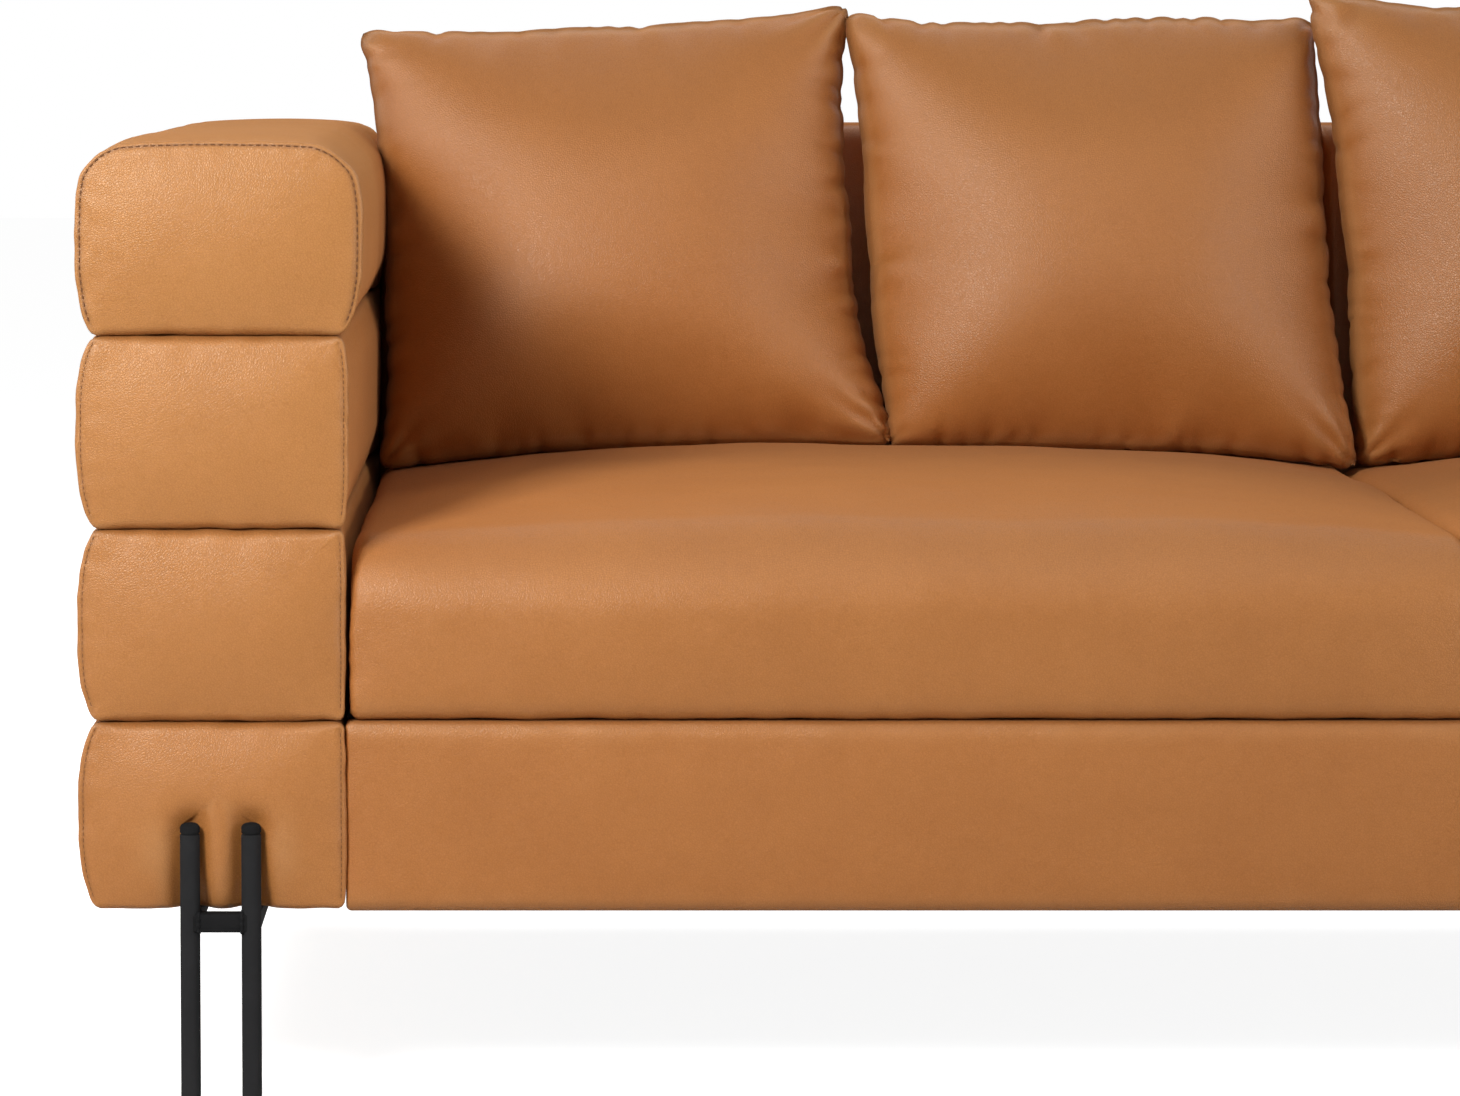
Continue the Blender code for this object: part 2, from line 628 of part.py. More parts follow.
def make_pillow_form(name, width, height, thickness, draw_in, cells, place, turn, material):
    """A knife-edged pillow: two crowned faces joined at a seam that is drawn in between corners."""
    shape = bmesh.new()
    bmesh.ops.create_grid(shape, x_segments=cells, y_segments=cells, size=1.0)
    for corner in [vert for vert in shape.verts if len(vert.link_faces) == 1]:
        beside = [edge.other_vert(corner) for edge in corner.link_edges]
        across = [vert for vert in corner.link_faces[0].verts if vert not in beside and vert != corner]
        bmesh.ops.connect_verts(shape, verts=[corner] + across)
    for vert in shape.verts:
        u = math.sin(vert.co.x * math.pi / 2)
        v = math.sin(vert.co.y * math.pi / 2)
        full = max(0.0, (1.0 - u * u) * (1.0 - v * v)) ** 0.55
        vert.co.x = u * (width / 2 - draw_in * (1.0 - v * v) * abs(u) ** 3)
        vert.co.y = v * (height / 2 - draw_in * (1.0 - u * u) * abs(v) ** 3)
        vert.co.z = thickness / 2 * full
    obj = finish(name, shape, place, material, smooth=True)
    mirror = obj.modifiers.new("rear face", "MIRROR")
    mirror.use_axis = (False, False, True)
    mirror.merge_threshold = 0.00001
    settle_faces(obj)
    obj.rotation_euler = turn.to_euler()
    return obj


def make_pillows():
    """Four loose pillows that sit on the seats and lean on the back, pressed flat where they touch."""
    seat_cutters = [make_seat_form("seat_press_" + name, side, FIT, None)
                    for name, side in (("left", -1), ("right", 1))]
    pad_cutters = [make_pad("pad_press_" + name, side, FIT, None)
                   for name, side in (("left", -1), ("right", 1))]
    swings = [PILLOW_HEIGHT / 2 * math.sin(math.radians(tilt)) for tilt in PILLOW_TILTS]
    gaps = [PILLOW_GAP + abs(first - second) for first, second in zip(swings, swings[1:])]
    left_gap = PILLOW_GAP + swings[0] - PILLOW_EAR
    right_gap = PILLOW_GAP + swings[-1] + MIDDLE_ROLL_BULGE
    gaps = [left_gap] + gaps + [right_gap]
    width = (2 * arm_inner_x - sum(gaps)) / len(swings)
    x = -arm_inner_x - width / 2
    for number, (lean, tilt) in enumerate(zip(PILLOW_LEANS, PILLOW_TILTS)):
        seat = number // 2
        lean = math.radians(lean)
        x += gaps[number] + width
        rise = PILLOW_HEIGHT / 2 - PILLOW_DRAW_IN
        y = pad_front_y
        z = seat_high.z
        for _ in range(4):
            z = seat_high.z + seat_height(abs(x), y - rise * math.sin(lean)) - PILLOW_SINK
            z += rise * math.cos(lean)
            y = pad_front_y + (z - seat_seam_z) * math.tan(PAD_LEAN)
            y += PILLOW_PRESS - PILLOW_THICKNESS / 2 / math.cos(lean - PAD_LEAN)
        turn = Matrix.Rotation(math.pi / 2 - lean, 3, "X") @ Matrix.Rotation(math.radians(tilt), 3, "Z")
        cover = make_pillow_form(f"pillow_{number + 1}", width, PILLOW_HEIGHT, PILLOW_THICKNESS,
                                 PILLOW_DRAW_IN, 12, (x, y, z), turn, leather)
        combine(cover, seat_cutters[seat], "DIFFERENCE")
        combine(cover, pad_cutters[seat], "DIFFERENCE")


make_base()
for side_name, side_sign in (("left", -1), ("right", 1)):
    make_arm(side_name + "_arm", side_sign)
    make_bearers(side_name, side_sign)
    for end_name, end_sign in (("front", -1), ("rear", 1)):
        make_leg(f"{side_name}_{end_name}_leg", side_sign, end_sign)
    make_seat(side_name + "_seat", side_sign)
make_back()
make_pillows()
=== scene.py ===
"""Looks of a three-seater sofa: tan leather over padded arms, loose cushions and black steel legs."""

import functools
import json
import math

import bmesh
import bpy
import numpy as np
from mathutils import Matrix, Vector, noise
from mathutils.bvhtree import BVHTree

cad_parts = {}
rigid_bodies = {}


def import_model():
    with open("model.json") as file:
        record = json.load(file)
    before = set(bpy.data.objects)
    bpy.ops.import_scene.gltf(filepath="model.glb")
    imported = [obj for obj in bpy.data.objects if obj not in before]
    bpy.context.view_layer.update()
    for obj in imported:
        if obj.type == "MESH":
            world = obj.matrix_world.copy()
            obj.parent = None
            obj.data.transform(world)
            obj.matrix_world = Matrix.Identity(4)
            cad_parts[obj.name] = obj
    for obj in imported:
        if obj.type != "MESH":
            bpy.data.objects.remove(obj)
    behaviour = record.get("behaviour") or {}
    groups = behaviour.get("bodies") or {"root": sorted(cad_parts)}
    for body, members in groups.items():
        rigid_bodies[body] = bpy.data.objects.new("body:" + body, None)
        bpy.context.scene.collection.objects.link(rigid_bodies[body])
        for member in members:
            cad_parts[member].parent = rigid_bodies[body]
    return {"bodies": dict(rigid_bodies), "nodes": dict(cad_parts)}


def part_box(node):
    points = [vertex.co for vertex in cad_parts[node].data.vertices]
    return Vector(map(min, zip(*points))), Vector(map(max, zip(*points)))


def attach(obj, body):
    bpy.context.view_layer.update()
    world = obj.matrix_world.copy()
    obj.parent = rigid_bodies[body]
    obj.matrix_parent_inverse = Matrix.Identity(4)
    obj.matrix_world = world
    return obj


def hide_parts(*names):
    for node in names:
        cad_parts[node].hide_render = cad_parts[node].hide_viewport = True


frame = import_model()
scene = bpy.context.scene
kept = set(frame["nodes"].values()) | set(frame["bodies"].values())
for leftover in [obj for obj in bpy.data.objects if obj not in kept]:
    bpy.data.objects.remove(leftover)
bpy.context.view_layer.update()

ROOT = "base_arms_and_back"
SIDES = ("left", "right")

# Camera, from the photograph
PHOTO_WIDTH = 1460
PHOTO_HEIGHT = 1096
HORIZON = (555.0, 46.0)         # pixel where lines that run straight back would meet
FOCAL = 4159.0                  # in pixels
SENSOR = 36.0
CAMERA_PLACE = (-0.694, -3.5, 0.8045)
CAMERA_PITCH = math.radians(3.4)

# Sizes shared with the solids, in metres
ARM_OUTER = 1.0405
ARM_INNER = 0.852
ROLL_END = 0.400                # from the middle to a roll's front and rear seams
ROLL_SWELL = 0.0125
ROLL_CROWN = 0.013
TOP_SWELL = 0.0045
FULLNESS = 2.4
SEAT_EDGE_HEIGHT = 0.136
SEAT_CROWN = 0.033
SEAT_FRONT_CROWN = 0.010
SEAT_SIDE_SWELL = 0.0022
PAD_LEAN = math.radians(9.7)
PANEL_CROWN = 0.004
PILLOW_HEIGHT = 0.420
PILLOW_THICKNESS = 0.172
PILLOW_LEANS = (17.0, 16.0, 8.0, 15.0)
PILLOW_TILTS = (2.6, 1.5, 3.0, 1.0)
ROD_RADIUS = 0.0075
ROD_PLACES = (-0.968, -0.922)   # across, under the left arm
ROD_AHEAD = 0.409               # ahead of the middle, and behind it
ROD_TOP = 0.2245
DENT_TOP = 0.221
BEVEL = 0.0016
CLEAR = 0.0006

# Rings of an end panel, from its seam to its middle
PANEL = (0.985, 0.970, 0.950, 0.925, 0.893, 0.855, 0.81, 0.755, 0.69, 0.62, 0.54, 0.46, 0.37, 0.28, 0.19,
         0.10, 0.03)


class Nodes:
    """The nodes of a material or a world, and short calls that add to them."""

    def __init__(self, owner):
        owner.use_nodes = True
        self.owner = owner
        self.tree = owner.node_tree

    @functools.cached_property
    def place(self):
        return self.add("TexCoord").outputs["Object"]

    def feed(self, socket, value):
        if isinstance(value, bpy.types.NodeSocket):
            self.tree.links.new(value, socket)
        else:
            socket.default_value = (*value, 1.0) if socket.type == "RGBA" else value

    def add(self, kind, settings=None, **inputs):
        node = self.tree.nodes.new("ShaderNode" + kind)
        for key, value in (settings or {}).items():
            setattr(node, key, value)
        for key, value in inputs.items():
            self.feed(node.inputs[key], value)
        return node

    def noise(self, scale, detail=2.0, rough=0.5, place=None):
        node = self.add("TexNoise", Vector=place or self.place, Scale=scale, Detail=detail, Roughness=rough)
        return node.outputs["Fac"]

    def cells(self, scale, place=None):
        node = self.add("TexVoronoi", {"feature": "DISTANCE_TO_EDGE"}, Vector=place or self.place, Scale=scale)
        return node.outputs["Distance"]

    def wave(self, scale, direction, distortion):
        node = self.add("TexWave", {"bands_direction": direction},
                        Vector=self.place, Scale=scale, Distortion=distortion)
        return node.outputs["Fac"]

    def stretch(self, scale):
        return self.add("Mapping", Vector=self.place, Scale=scale).outputs["Vector"]

    def given(self, name):
        return self.add("Attribute", {"attribute_name": name}).outputs["Fac"]

    def sum(self, first, second, kind="ADD"):
        node = self.add("Math", {"operation": kind})
        self.feed(node.inputs[0], first)
        self.feed(node.inputs[1], second)
        return node.outputs[0]

    def span(self, value, low, high, to_low, to_high):
        node = self.add("MapRange", Value=value)
        for key, number in zip(("From Min", "From Max", "To Min", "To Max"), (low, high, to_low, to_high)):
            self.feed(node.inputs[key], number)
        return node.outputs["Result"]

    def mix(self, amount, first, second):
        node = self.add("Mix", {"data_type": "RGBA"})
        for place, value in ((0, amount), (6, first), (7, second)):
            self.feed(node.inputs[place], value)
        return node.outputs[2]

    def blend(self, value, low, high, first, second, most=1.0):
        """The first colour where the value is low, and more of the second where it is high."""
        return self.mix(self.span(value, low, high, 0.0, most), first, second)

    def bump(self, height, distance, strength, after=None):
        node = self.add("Bump", Height=height, Distance=distance, Strength=strength)
        if after is not None:
            self.feed(node.inputs["Normal"], after)
        return node.outputs["Normal"]

    def seen(self, *kinds):
        """1 for the rays of these kinds, 0 for the light that bounces."""
        path = self.add("LightPath")
        value = path.outputs[kinds[0]]
        for kind in kinds[1:]:
            value = self.sum(value, path.outputs[kind], "MAXIMUM")
        return value

    def finish(self, color, rough, normal, **plain):
        shader = self.tree.nodes["Principled BSDF"]
        for key, value in dict(Base_Color=color, Roughness=rough, Normal=normal, **plain).items():
            self.feed(shader.inputs[key.replace("_", " ")], value)
        return self.owner


def material(name):
    return Nodes(bpy.data.materials.new(name))


def make_leather():
    """Tan hide with a fine pebbled grain, cloudy dye, pale rubbed edges and dark seams; painted glints, paler
    upper rolls and painted shade in creases.
    """
    n = material("tan_leather_hide")
    hide = n.noise(2.4)
    cloud = n.noise(16.0, 4.0, 0.6)
    mottle = n.noise(110.0, 3.0, 0.6)
    wobble = n.add("VectorMath", {"operation": "MULTIPLY_ADD"})
    n.feed(wobble.inputs[0], n.add("TexNoise", Vector=n.place, Scale=240.0).outputs["Color"])
    wobble.inputs[1].default_value = (0.0016, 0.0016, 0.0016)
    n.feed(wobble.inputs[2], n.place)
    pebble = n.span(n.cells(520.0, wobble.outputs[0]), 0.0, 0.26, 0.0, 1.0)
    tone = n.sum(n.sum(hide, 0.5, "MULTIPLY"), n.sum(cloud, 0.5, "MULTIPLY"))
    deep = n.blend(tone, 0.32, 0.72, (0.405, 0.131, 0.028), (0.462, 0.156, 0.034))
    pale = n.blend(tone, 0.32, 0.72, (0.500, 0.230, 0.066), (0.560, 0.268, 0.080))
    # The hide's tone for each piece, partly painted light: pieces that stand in more light are made paler.
    color = n.mix(n.given("tone_and_painted_light"), deep, pale)
    color = n.blend(mottle, 0.42, 0.72, color, (0.60, 0.235, 0.070), 0.12)
    # Pale specks over the grain: painted glints.
    color = n.blend(n.noise(430.0), 0.50, 0.75, color, (0.64, 0.290, 0.105), 0.10)
    color = n.mix(n.span(pebble, 0.0, 0.55, 0.30, 0.0), color, (0.27, 0.085, 0.020))
    color = n.blend(n.given("wear"), 0.15, 1.0, color, (0.61, 0.318, 0.128), 0.30)
    # Dark along the seams; the same mark also carries painted shade in the creases between rolls, under the
    # seat cushions and along the panels' edges.
    color = n.blend(n.given("seam"), 0.0, 1.0, color, (0.105, 0.034, 0.010), 0.80)
    rough = n.span(n.sum(cloud, mottle), 0.7, 1.3, 0.33, 0.42)
    rough = n.sum(rough, n.span(pebble, 0.0, 0.5, 0.07, 0.0))
    glancing = n.add("LayerWeight", Blend=0.5).outputs["Facing"]
    rough = n.sum(rough, n.span(glancing, 0.62, 0.92, 0.0, 0.55))
    normal = n.bump(n.noise(52.0, 4.0, 0.55), 0.0016, 0.16)
    normal = n.bump(pebble, 0.00030, 0.45, normal)
    normal = n.bump(n.noise(1500.0), 0.00010, 0.40, normal)
    return n.finish(color, rough, normal, Specular_IOR_Level=0.42, Specular_Tint=(1.0, 0.90, 0.76))


def make_thread():
    """Twisted upholstery thread, a little darker than the hide."""
    n = material("stitch_thread")
    twist = n.wave(900.0, "DIAGONAL", 1.5)
    color = n.blend(twist, 0.2, 0.9, (0.115, 0.040, 0.012), (0.25, 0.098, 0.030))
    color = n.blend(n.noise(30.0), 0.4, 0.7, color, (0.20, 0.085, 0.028), 0.4)
    rough = n.span(n.noise(2600.0), 0.3, 0.7, 0.62, 0.82)
    return n.finish(color, rough, n.bump(twist, 0.0002, 0.7), Specular_IOR_Level=0.3)


def make_steel():
    """Black powder coat with a slight orange peel, faint dust and rubbed ends."""
    n = material("black_powder_coat")
    peel = n.noise(520.0, 3.0)
    dust = n.noise(36.0, 5.0, 0.65)
    color = n.blend(dust, 0.48, 0.75, (0.016, 0.016, 0.0165), (0.026, 0.026, 0.0265), 0.6)
    color = n.blend(n.given("wear"), 0.35, 1.0, color, (0.085, 0.085, 0.088), 0.6)
    rough = n.span(n.sum(peel, dust), 0.7, 1.35, 0.38, 0.58)
    return n.finish(color, rough, n.bump(peel, 0.00022, 0.35), Specular_IOR_Level=0.005)


def make_plastic():
    """Matt black moulded plastic of the glides."""
    n = material("black_moulded_plastic")
    scuff = n.noise(90.0, 6.0, 0.7)
    color = n.blend(scuff, 0.5, 0.75, (0.018, 0.018, 0.018), (0.055, 0.053, 0.050), 0.7)
    return n.finish(color, n.span(scuff, 0.3, 0.7, 0.48, 0.70), n.bump(n.noise(1700.0), 0.00012, 0.5))


def make_weave(name, dark, light, pitch, rough):
    """Plain woven or spun cloth: threads over and under, with uneven yarn."""
    n = material(name)
    thread = n.sum(n.wave(pitch, "X", 0.6), n.wave(pitch, "Y", 0.6), "MAXIMUM")
    yarn = n.noise(60.0, 4.0, 0.6)
    color = n.blend(n.sum(thread, yarn), 0.7, 1.6, dark, light)
    normal = n.bump(n.noise(1300.0), 0.0002, 0.4, n.bump(thread, 0.0006, 0.7))
    return n.finish(color, n.span(yarn, 0.3, 0.7, rough - 0.06, rough + 0.06), normal,
                    Specular_IOR_Level=0.2, Sheen_Weight=0.25, Sheen_Roughness=0.5)


def make_wood():
    """Plywood: long pale grain on the faces and thin dark glue lines on the edges."""
    n = material("birch_plywood")
    grain = n.noise(9.0, 6.0, 0.65, n.stretch((0.8, 6.0, 6.0)))
    pores = n.noise(60.0, 4.0, 0.7, n.stretch((0.6, 14.0, 14.0)))
    color = n.blend(grain, 0.35, 0.68, (0.46, 0.29, 0.145), (0.64, 0.455, 0.27))
    color = n.blend(pores, 0.52, 0.72, color, (0.27, 0.150, 0.066), 0.5)
    color = n.blend(n.wave(115.0, "Z", 0.4), 0.90, 0.99, color, (0.20, 0.115, 0.055), 0.35)
    return n.finish(color, n.span(pores, 0.3, 0.7, 0.55, 0.74), n.bump(pores, 0.0004, 0.5))


def make_zinc():
    """Bright zinc plate on the bolts, with a fine brushed streak."""
    n = material("zinc_plate")
    streak = n.noise(420.0, 3.0, 0.6, n.stretch((8.0, 1.0, 1.0)))
    color = n.blend(n.noise(70.0, 4.0, 0.6), 0.4, 0.7, (0.50, 0.51, 0.52), (0.66, 0.66, 0.64))
    return n.finish(color, n.span(streak, 0.3, 0.7, 0.24, 0.42), n.bump(streak, 0.0002, 0.4), Metallic=1.0)


def make_foam():
    """Open-celled cream foam of the seat cores."""
    n = material("cream_foam")
    cells = n.cells(260.0)
    tint = n.noise(7.0, 3.0)
    color = n.blend(cells, 0.0, 0.25, (0.42, 0.34, 0.20), (0.74, 0.66, 0.46))
    color = n.blend(tint, 0.4, 0.7, color, (0.62, 0.50, 0.30), 0.3)
    return n.finish(color, n.span(tint, 0.3, 0.7, 0.80, 0.94), n.bump(cells, 0.0012, 0.8))


LEATHER = make_leather()
THREAD = make_thread()
STEEL = make_steel()
PLASTIC = make_plastic()
CLOTH = make_weave("black_spun_cloth", (0.010, 0.010, 0.011), (0.035, 0.034, 0.034), 420.0, 0.86)
TAPE = make_weave("black_zip_tape", (0.012, 0.011, 0.010), (0.040, 0.038, 0.036), 900.0, 0.80)
WEBBING = make_weave("jute_webbing", (0.20, 0.135, 0.070), (0.42, 0.31, 0.19), 260.0, 0.84)
WOOD = make_wood()
ZINC = make_zinc()
FOAM = make_foam()


def new_piece(name, points, faces, material, smooth=True, turn=True):
    """A mesh object in the shared frame, with its faces turned outward."""
    mesh = bpy.data.meshes.new(name)
    mesh.from_pydata([tuple(point) for point in points], [], [tuple(face) for face in faces])
    if turn:
        shape = bmesh.new()
        shape.from_mesh(mesh)
        bmesh.ops.recalc_face_normals(shape, faces=shape.faces)
        shape.to_mesh(mesh)
        shape.free()
    if smooth:
        mesh.shade_smooth()
    mesh.materials.append(material)
    obj = bpy.data.objects.new(name, mesh)
    scene.collection.objects.link(obj)
    return obj


def ring_faces(rows, around, start=0, closed=False):
    """Four-sided faces between rings of points that follow each other."""
    faces = []
    for row in range(rows if closed else rows - 1):
        near = start + row * around
        far = start + (row + 1) % rows * around
        for spot in range(around):
            after = (spot + 1) % around
            faces.append((near + spot, near + after, far + after, far + spot))
    return faces


def tube_faces(rows, around, start=0):
    """Faces of a tube of rings, with a cap at each end."""
    last = start + (rows - 1) * around
    caps = [tuple(range(start, start + around)), tuple(range(last + around - 1, last - 1, -1))]
    return ring_faces(rows, around, start) + caps


def tree_of(obj):
    """The piece's surface, for casting rays at."""
    return BVHTree.FromPolygons(coords(obj).tolist(), [face.vertices[:] for face in obj.data.polygons])


def read(items, key):
    flat = np.empty(len(items) * 3, np.float32)
    items.foreach_get(key, flat)
    return flat.reshape(-1, 3).astype(float)


def coords(obj):
    return read(obj.data.vertices, "co")


def set_coords(obj, points):
    obj.data.vertices.foreach_set("co", np.asarray(points, np.float32).ravel())
    obj.data.update()


def normals(obj):
    return read(obj.data.vertex_normals, "vector")


def push(obj, amounts):
    """Moves each point along its own normal."""
    set_coords(obj, coords(obj) + normals(obj) * np.asarray(amounts)[:, None])


def mark(obj, name, values):
    """Keeps one number for each point, for the materials."""
    layer = obj.data.attributes.new(name, "FLOAT", "POINT")
    layer.data.foreach_set("value", np.asarray(values, np.float32))


def mark_wear(obj, scale, tone_and_painted_light=0.5):
    """Marks the points that stand out most, where hands and cloth rub, and the hide's tone, partly painted
    light.
    """
    points = coords(obj)
    ends = np.empty(len(obj.data.edges) * 2, np.int32)
    obj.data.edges.foreach_get("vertices", ends)
    first, second = ends.reshape(-1, 2).T

    def gathered(values):
        total = np.zeros_like(values)
        np.add.at(total, first, values[second])
        np.add.at(total, second, values[first])
        return total

    count = np.maximum(gathered(np.ones(len(points))), 1.0)
    bend = -((gathered(points) / count[:, None] - points) * normals(obj)).sum(1) * scale
    for _ in range(6):
        bend = 0.4 * bend + 0.6 * gathered(bend) / count
    mark(obj, "wear", np.clip(bend, 0.0, 1.0))
    mark(obj, "tone_and_painted_light", np.full(len(points), tone_and_painted_light))


def drift(points, scale, shift):
    """Slow seeded noise at each point, about -0.5 to 0.5."""
    offset = Vector((shift * 3.17, shift * 1.31, shift * 7.73))
    return np.array([noise.noise(Vector(point) * scale + offset) for point in points])


def step_up(values, low, high):
    """0 below a low value, 1 above a high one, with a smooth rise between."""
    part = np.clip((np.asarray(values) - low) / (high - low), 0.0, 1.0)
    return part * part * (3.0 - 2.0 * part)


def bell(values, width):
    """1 where the value is 0, fading to 0 beyond a width."""
    return np.exp(-(values / width) ** 2)


def share(values, half):
    """How far out the values lie, from 0 in the middle to 1 at a half size."""
    return np.clip(np.abs(values) / half, 0, 1)


def carry(obj, body, slot, *nodes):
    """The piece moves with a body and stands for some solids; the slot is not used."""
    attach(obj, body)
    if nodes:
        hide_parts(*nodes)
    return obj


def finish_soft(obj, seam, wear, tone_and_painted_light, body, fill, *nodes):
    """Marks a leather piece for its material, and says what it moves with and stands for; the fill is not used.
    """
    mark(obj, "seam", np.clip(seam, 0.0, 1.0))
    mark_wear(obj, wear, tone_and_painted_light)
    carry(obj, body, "tan_leather", *nodes)
    return obj


def outline(corners, radii, count):
    """Evenly spaced points and outward normals round a polygon with rounded corners.

    Places in its plane are complex numbers while it works.
    """
    corners = [complex(*corner) for corner in corners]
    points, ways = [], []
    for index, here in enumerate(corners):
        into = here - corners[index - 1]
        into /= abs(into)
        turn = np.angle((corners[(index + 1) % len(corners)] - here) / into)
        side = math.copysign(radii[index], turn)
        centre = here - into * radii[index] * math.tan(abs(turn) / 2) + side * 1j * into
        for way in -1j * into * np.exp(1j * np.linspace(0.0, turn, 17)):
            points.append(centre + side * way)
            ways.append(way)
    loop = np.array(points + points[:1])
    along = np.concatenate([[0.0], np.cumsum(np.abs(np.diff(loop)))])
    where = np.linspace(0.0, along[-1], count, endpoint=False)
    spots = np.interp(where, along, loop)
    facing = np.interp(where, along, ways + ways[:1])
    facing /= np.abs(facing)
    return [np.stack([values.real, values.imag], 1) for values in (spots, facing)]


def box_outline(low, high, radii, count):
    corners = [(low[0], low[1]), (high[0], low[1]), (high[0], high[1]), (low[0], high[1])]
    return outline(corners, radii, count)


class Stuffed:
    """A padded form: an outline carried along one axis, with sewn and crowned panels at both ends.

    Its points lie in rings. For each point it knows how far it is from the nearer end's seam,
    negative on the side wall and positive on the panel, and which outline point it came from.
    """

    def __init__(self, name, axis, low, high, spots, ways, edge, crown, hub, stations, shape=None, eased=True):
        half = (high - low) / 2
        around = self.around = len(spots)
        hub = np.array(hub)
        wall = []    # for each ring: its outline, its distance from the middle, and from the seam
        for part in np.linspace(0.0, 1.0, stations // 2 + 1):
            wall.append((spots, part * (half - edge), -(1 - part) * (half - edge) - edge * math.pi / 2))
        for angle in np.radians(np.linspace(0.0, 90.0, 7))[1:]:
            wall.append((spots - ways * (edge * (1 - math.cos(angle)))[:, None],
                         half - edge * (1 - math.sin(angle)), -edge * (math.pi / 2 - angle)))
        base = spots - ways * edge[:, None]
        reach = np.abs(((base - hub) * ways).sum(1))
        span = np.abs(base - hub).mean(0) * 1.2
        oval = (base - hub) / span
        oval = oval / np.linalg.norm(oval, axis=1)[:, None] * span
        for scale in PANEL:
            keep = scale ** 2 if eased else 1.0
            flat = hub + ((base - hub) * keep + oval * (1 - keep)) * scale
            wall.append((flat, half + crown * (1 - scale ** FULLNESS), (1 - scale) * reach))
        self.rows = len(wall)
        rings, seams = [], []
        others = [other for other in (0, 1, 2) if other != axis]
        for side in (-1, 1):
            for flat, along, seam in wall[::-1] if side < 0 else wall[1:]:
                ring = np.empty((around, 3))
                ring[:, axis] = (low + high) / 2 + side * along
                ring[:, others] = flat
                rings.append(ring)
                seams.append(np.broadcast_to(seam, around))
        points = np.concatenate(rings + [[rings[0].mean(0), rings[-1].mean(0)]])
        self.seam = np.concatenate(seams + [[reach.mean()] * 2])
        self.index = np.concatenate([np.tile(np.arange(around), len(rings)), [0, 0]])
        faces = ring_faces(len(rings), around)
        last = len(rings) * around
        start = last - around
        turns = [(spot, (spot + 1) % around) for spot in range(around)]
        faces.extend((last, two, one) for one, two in turns)
        faces.extend((last + 1, start + one, start + two) for one, two in turns)
        self.obj = new_piece(name, shape(points) if shape else points, faces, LEATHER)

    def panel_row(self, side, number):
        """Indices of the points of one panel ring; number counts from the seam."""
        ring = self.rows - 1 + side * (self.rows - len(PANEL) - 1 + number)
        return np.arange(ring * self.around, (ring + 1) * self.around)


def sew(form, weights, depth=0.0008, pucker=0.0005, seed=0.0):
    """Draws the end seams in, gathers the leather along them and says how dark they are."""
    weight = weights[form.index]
    seam = form.seam
    groove = -depth * bell(seam, 0.0011) + 0.25 * depth * bell(np.abs(seam) - 0.004, 0.003)
    ripple = drift(coords(form.obj), 1.0 / 0.013, seed) * bell(seam, 0.014)
    push(form.obj, weight * (groove + 2.0 * pucker * ripple))
    return 0.7 * weight * bell(seam, 0.0011)


# Along one stitch: place, girth and rise, in shares of its length, radius and radius
STITCH_SHAPE = ((-0.50, 0.10, -1.2), (-0.43, 0.70, -0.35), (-0.22, 1.0, 0.05), (0.0, 1.0, 0.15),
                (0.22, 1.0, 0.05), (0.43, 0.70, -0.35), (0.50, 0.10, -1.2))
STITCH_SPOKES = 7
STITCH_LIFT = 0.0001


def stitch_line(name, path, ups, body, pitch=0.0047, length=0.0035, radius=0.00034):
    """One sewn line: short lengths of thread that dive into the leather at both ends."""
    along = np.concatenate([[0.0], np.cumsum(np.linalg.norm(np.diff(path, axis=0), axis=1))])
    angles = [2 * math.pi * spoke / STITCH_SPOKES for spoke in range(STITCH_SPOKES)]

    def at(values, where):
        return np.array([np.interp(where, along, values[:, axis]) for axis in range(3)])

    points, faces = [], []
    for place in np.arange(pitch / 2, along[-1] - pitch / 2, pitch):
        faces.extend(tube_faces(len(STITCH_SHAPE), STITCH_SPOKES, len(points)))
        for part, girth, rise in STITCH_SHAPE:
            where = place + part * length
            run = at(path, where + 0.001) - at(path, where - 0.001)
            across = np.cross(run, at(ups, where))
            across /= np.linalg.norm(across)
            up = np.cross(across, run)
            up /= np.linalg.norm(up)
            spot = at(path, where) + up * (STITCH_LIFT + rise * radius)
            points.extend(spot + radius * girth * (across * math.cos(angle) + up * math.sin(angle))
                          for angle in angles)
    carry(new_piece(name, points, faces, THREAD), body, "tan_leather")


def runs(flags):
    """Stretches of a closed loop where the flags hold, as lists of indices in order."""
    count = len(flags)
    if flags.all():
        return [list(range(count)) + [0]]
    start = next(index for index in range(count) if not flags[index])
    found, current = [], []
    for step in range(1, count + 1):
        index = (start + step) % count
        if flags[index]:
            current.append(index)
        elif current:
            found.append(current)
            current = []
    return found


def stitch_ends(form, node, weights, number, names, body, **thread):
    """Sews both end panels along one of their rings, where the weights are high."""
    ups = normals(form.obj)
    points = coords(form.obj)
    for end, end_name in zip((-1, 1), names):
        row = form.panel_row(end, number)
        for count, stretch in enumerate(runs(weights > 0.5), 1):
            picked = row[stretch]
            stitch_line(f"{node}_{end_name}_stitches_{count}", points[picked], ups[picked], body, **thread)


def pad_plane(height):
    """How far back the front of the back pads lies at a height."""
    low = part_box("left_back_pad")[0]
    return low.y + (height - low.z) * math.tan(PAD_LEAN)


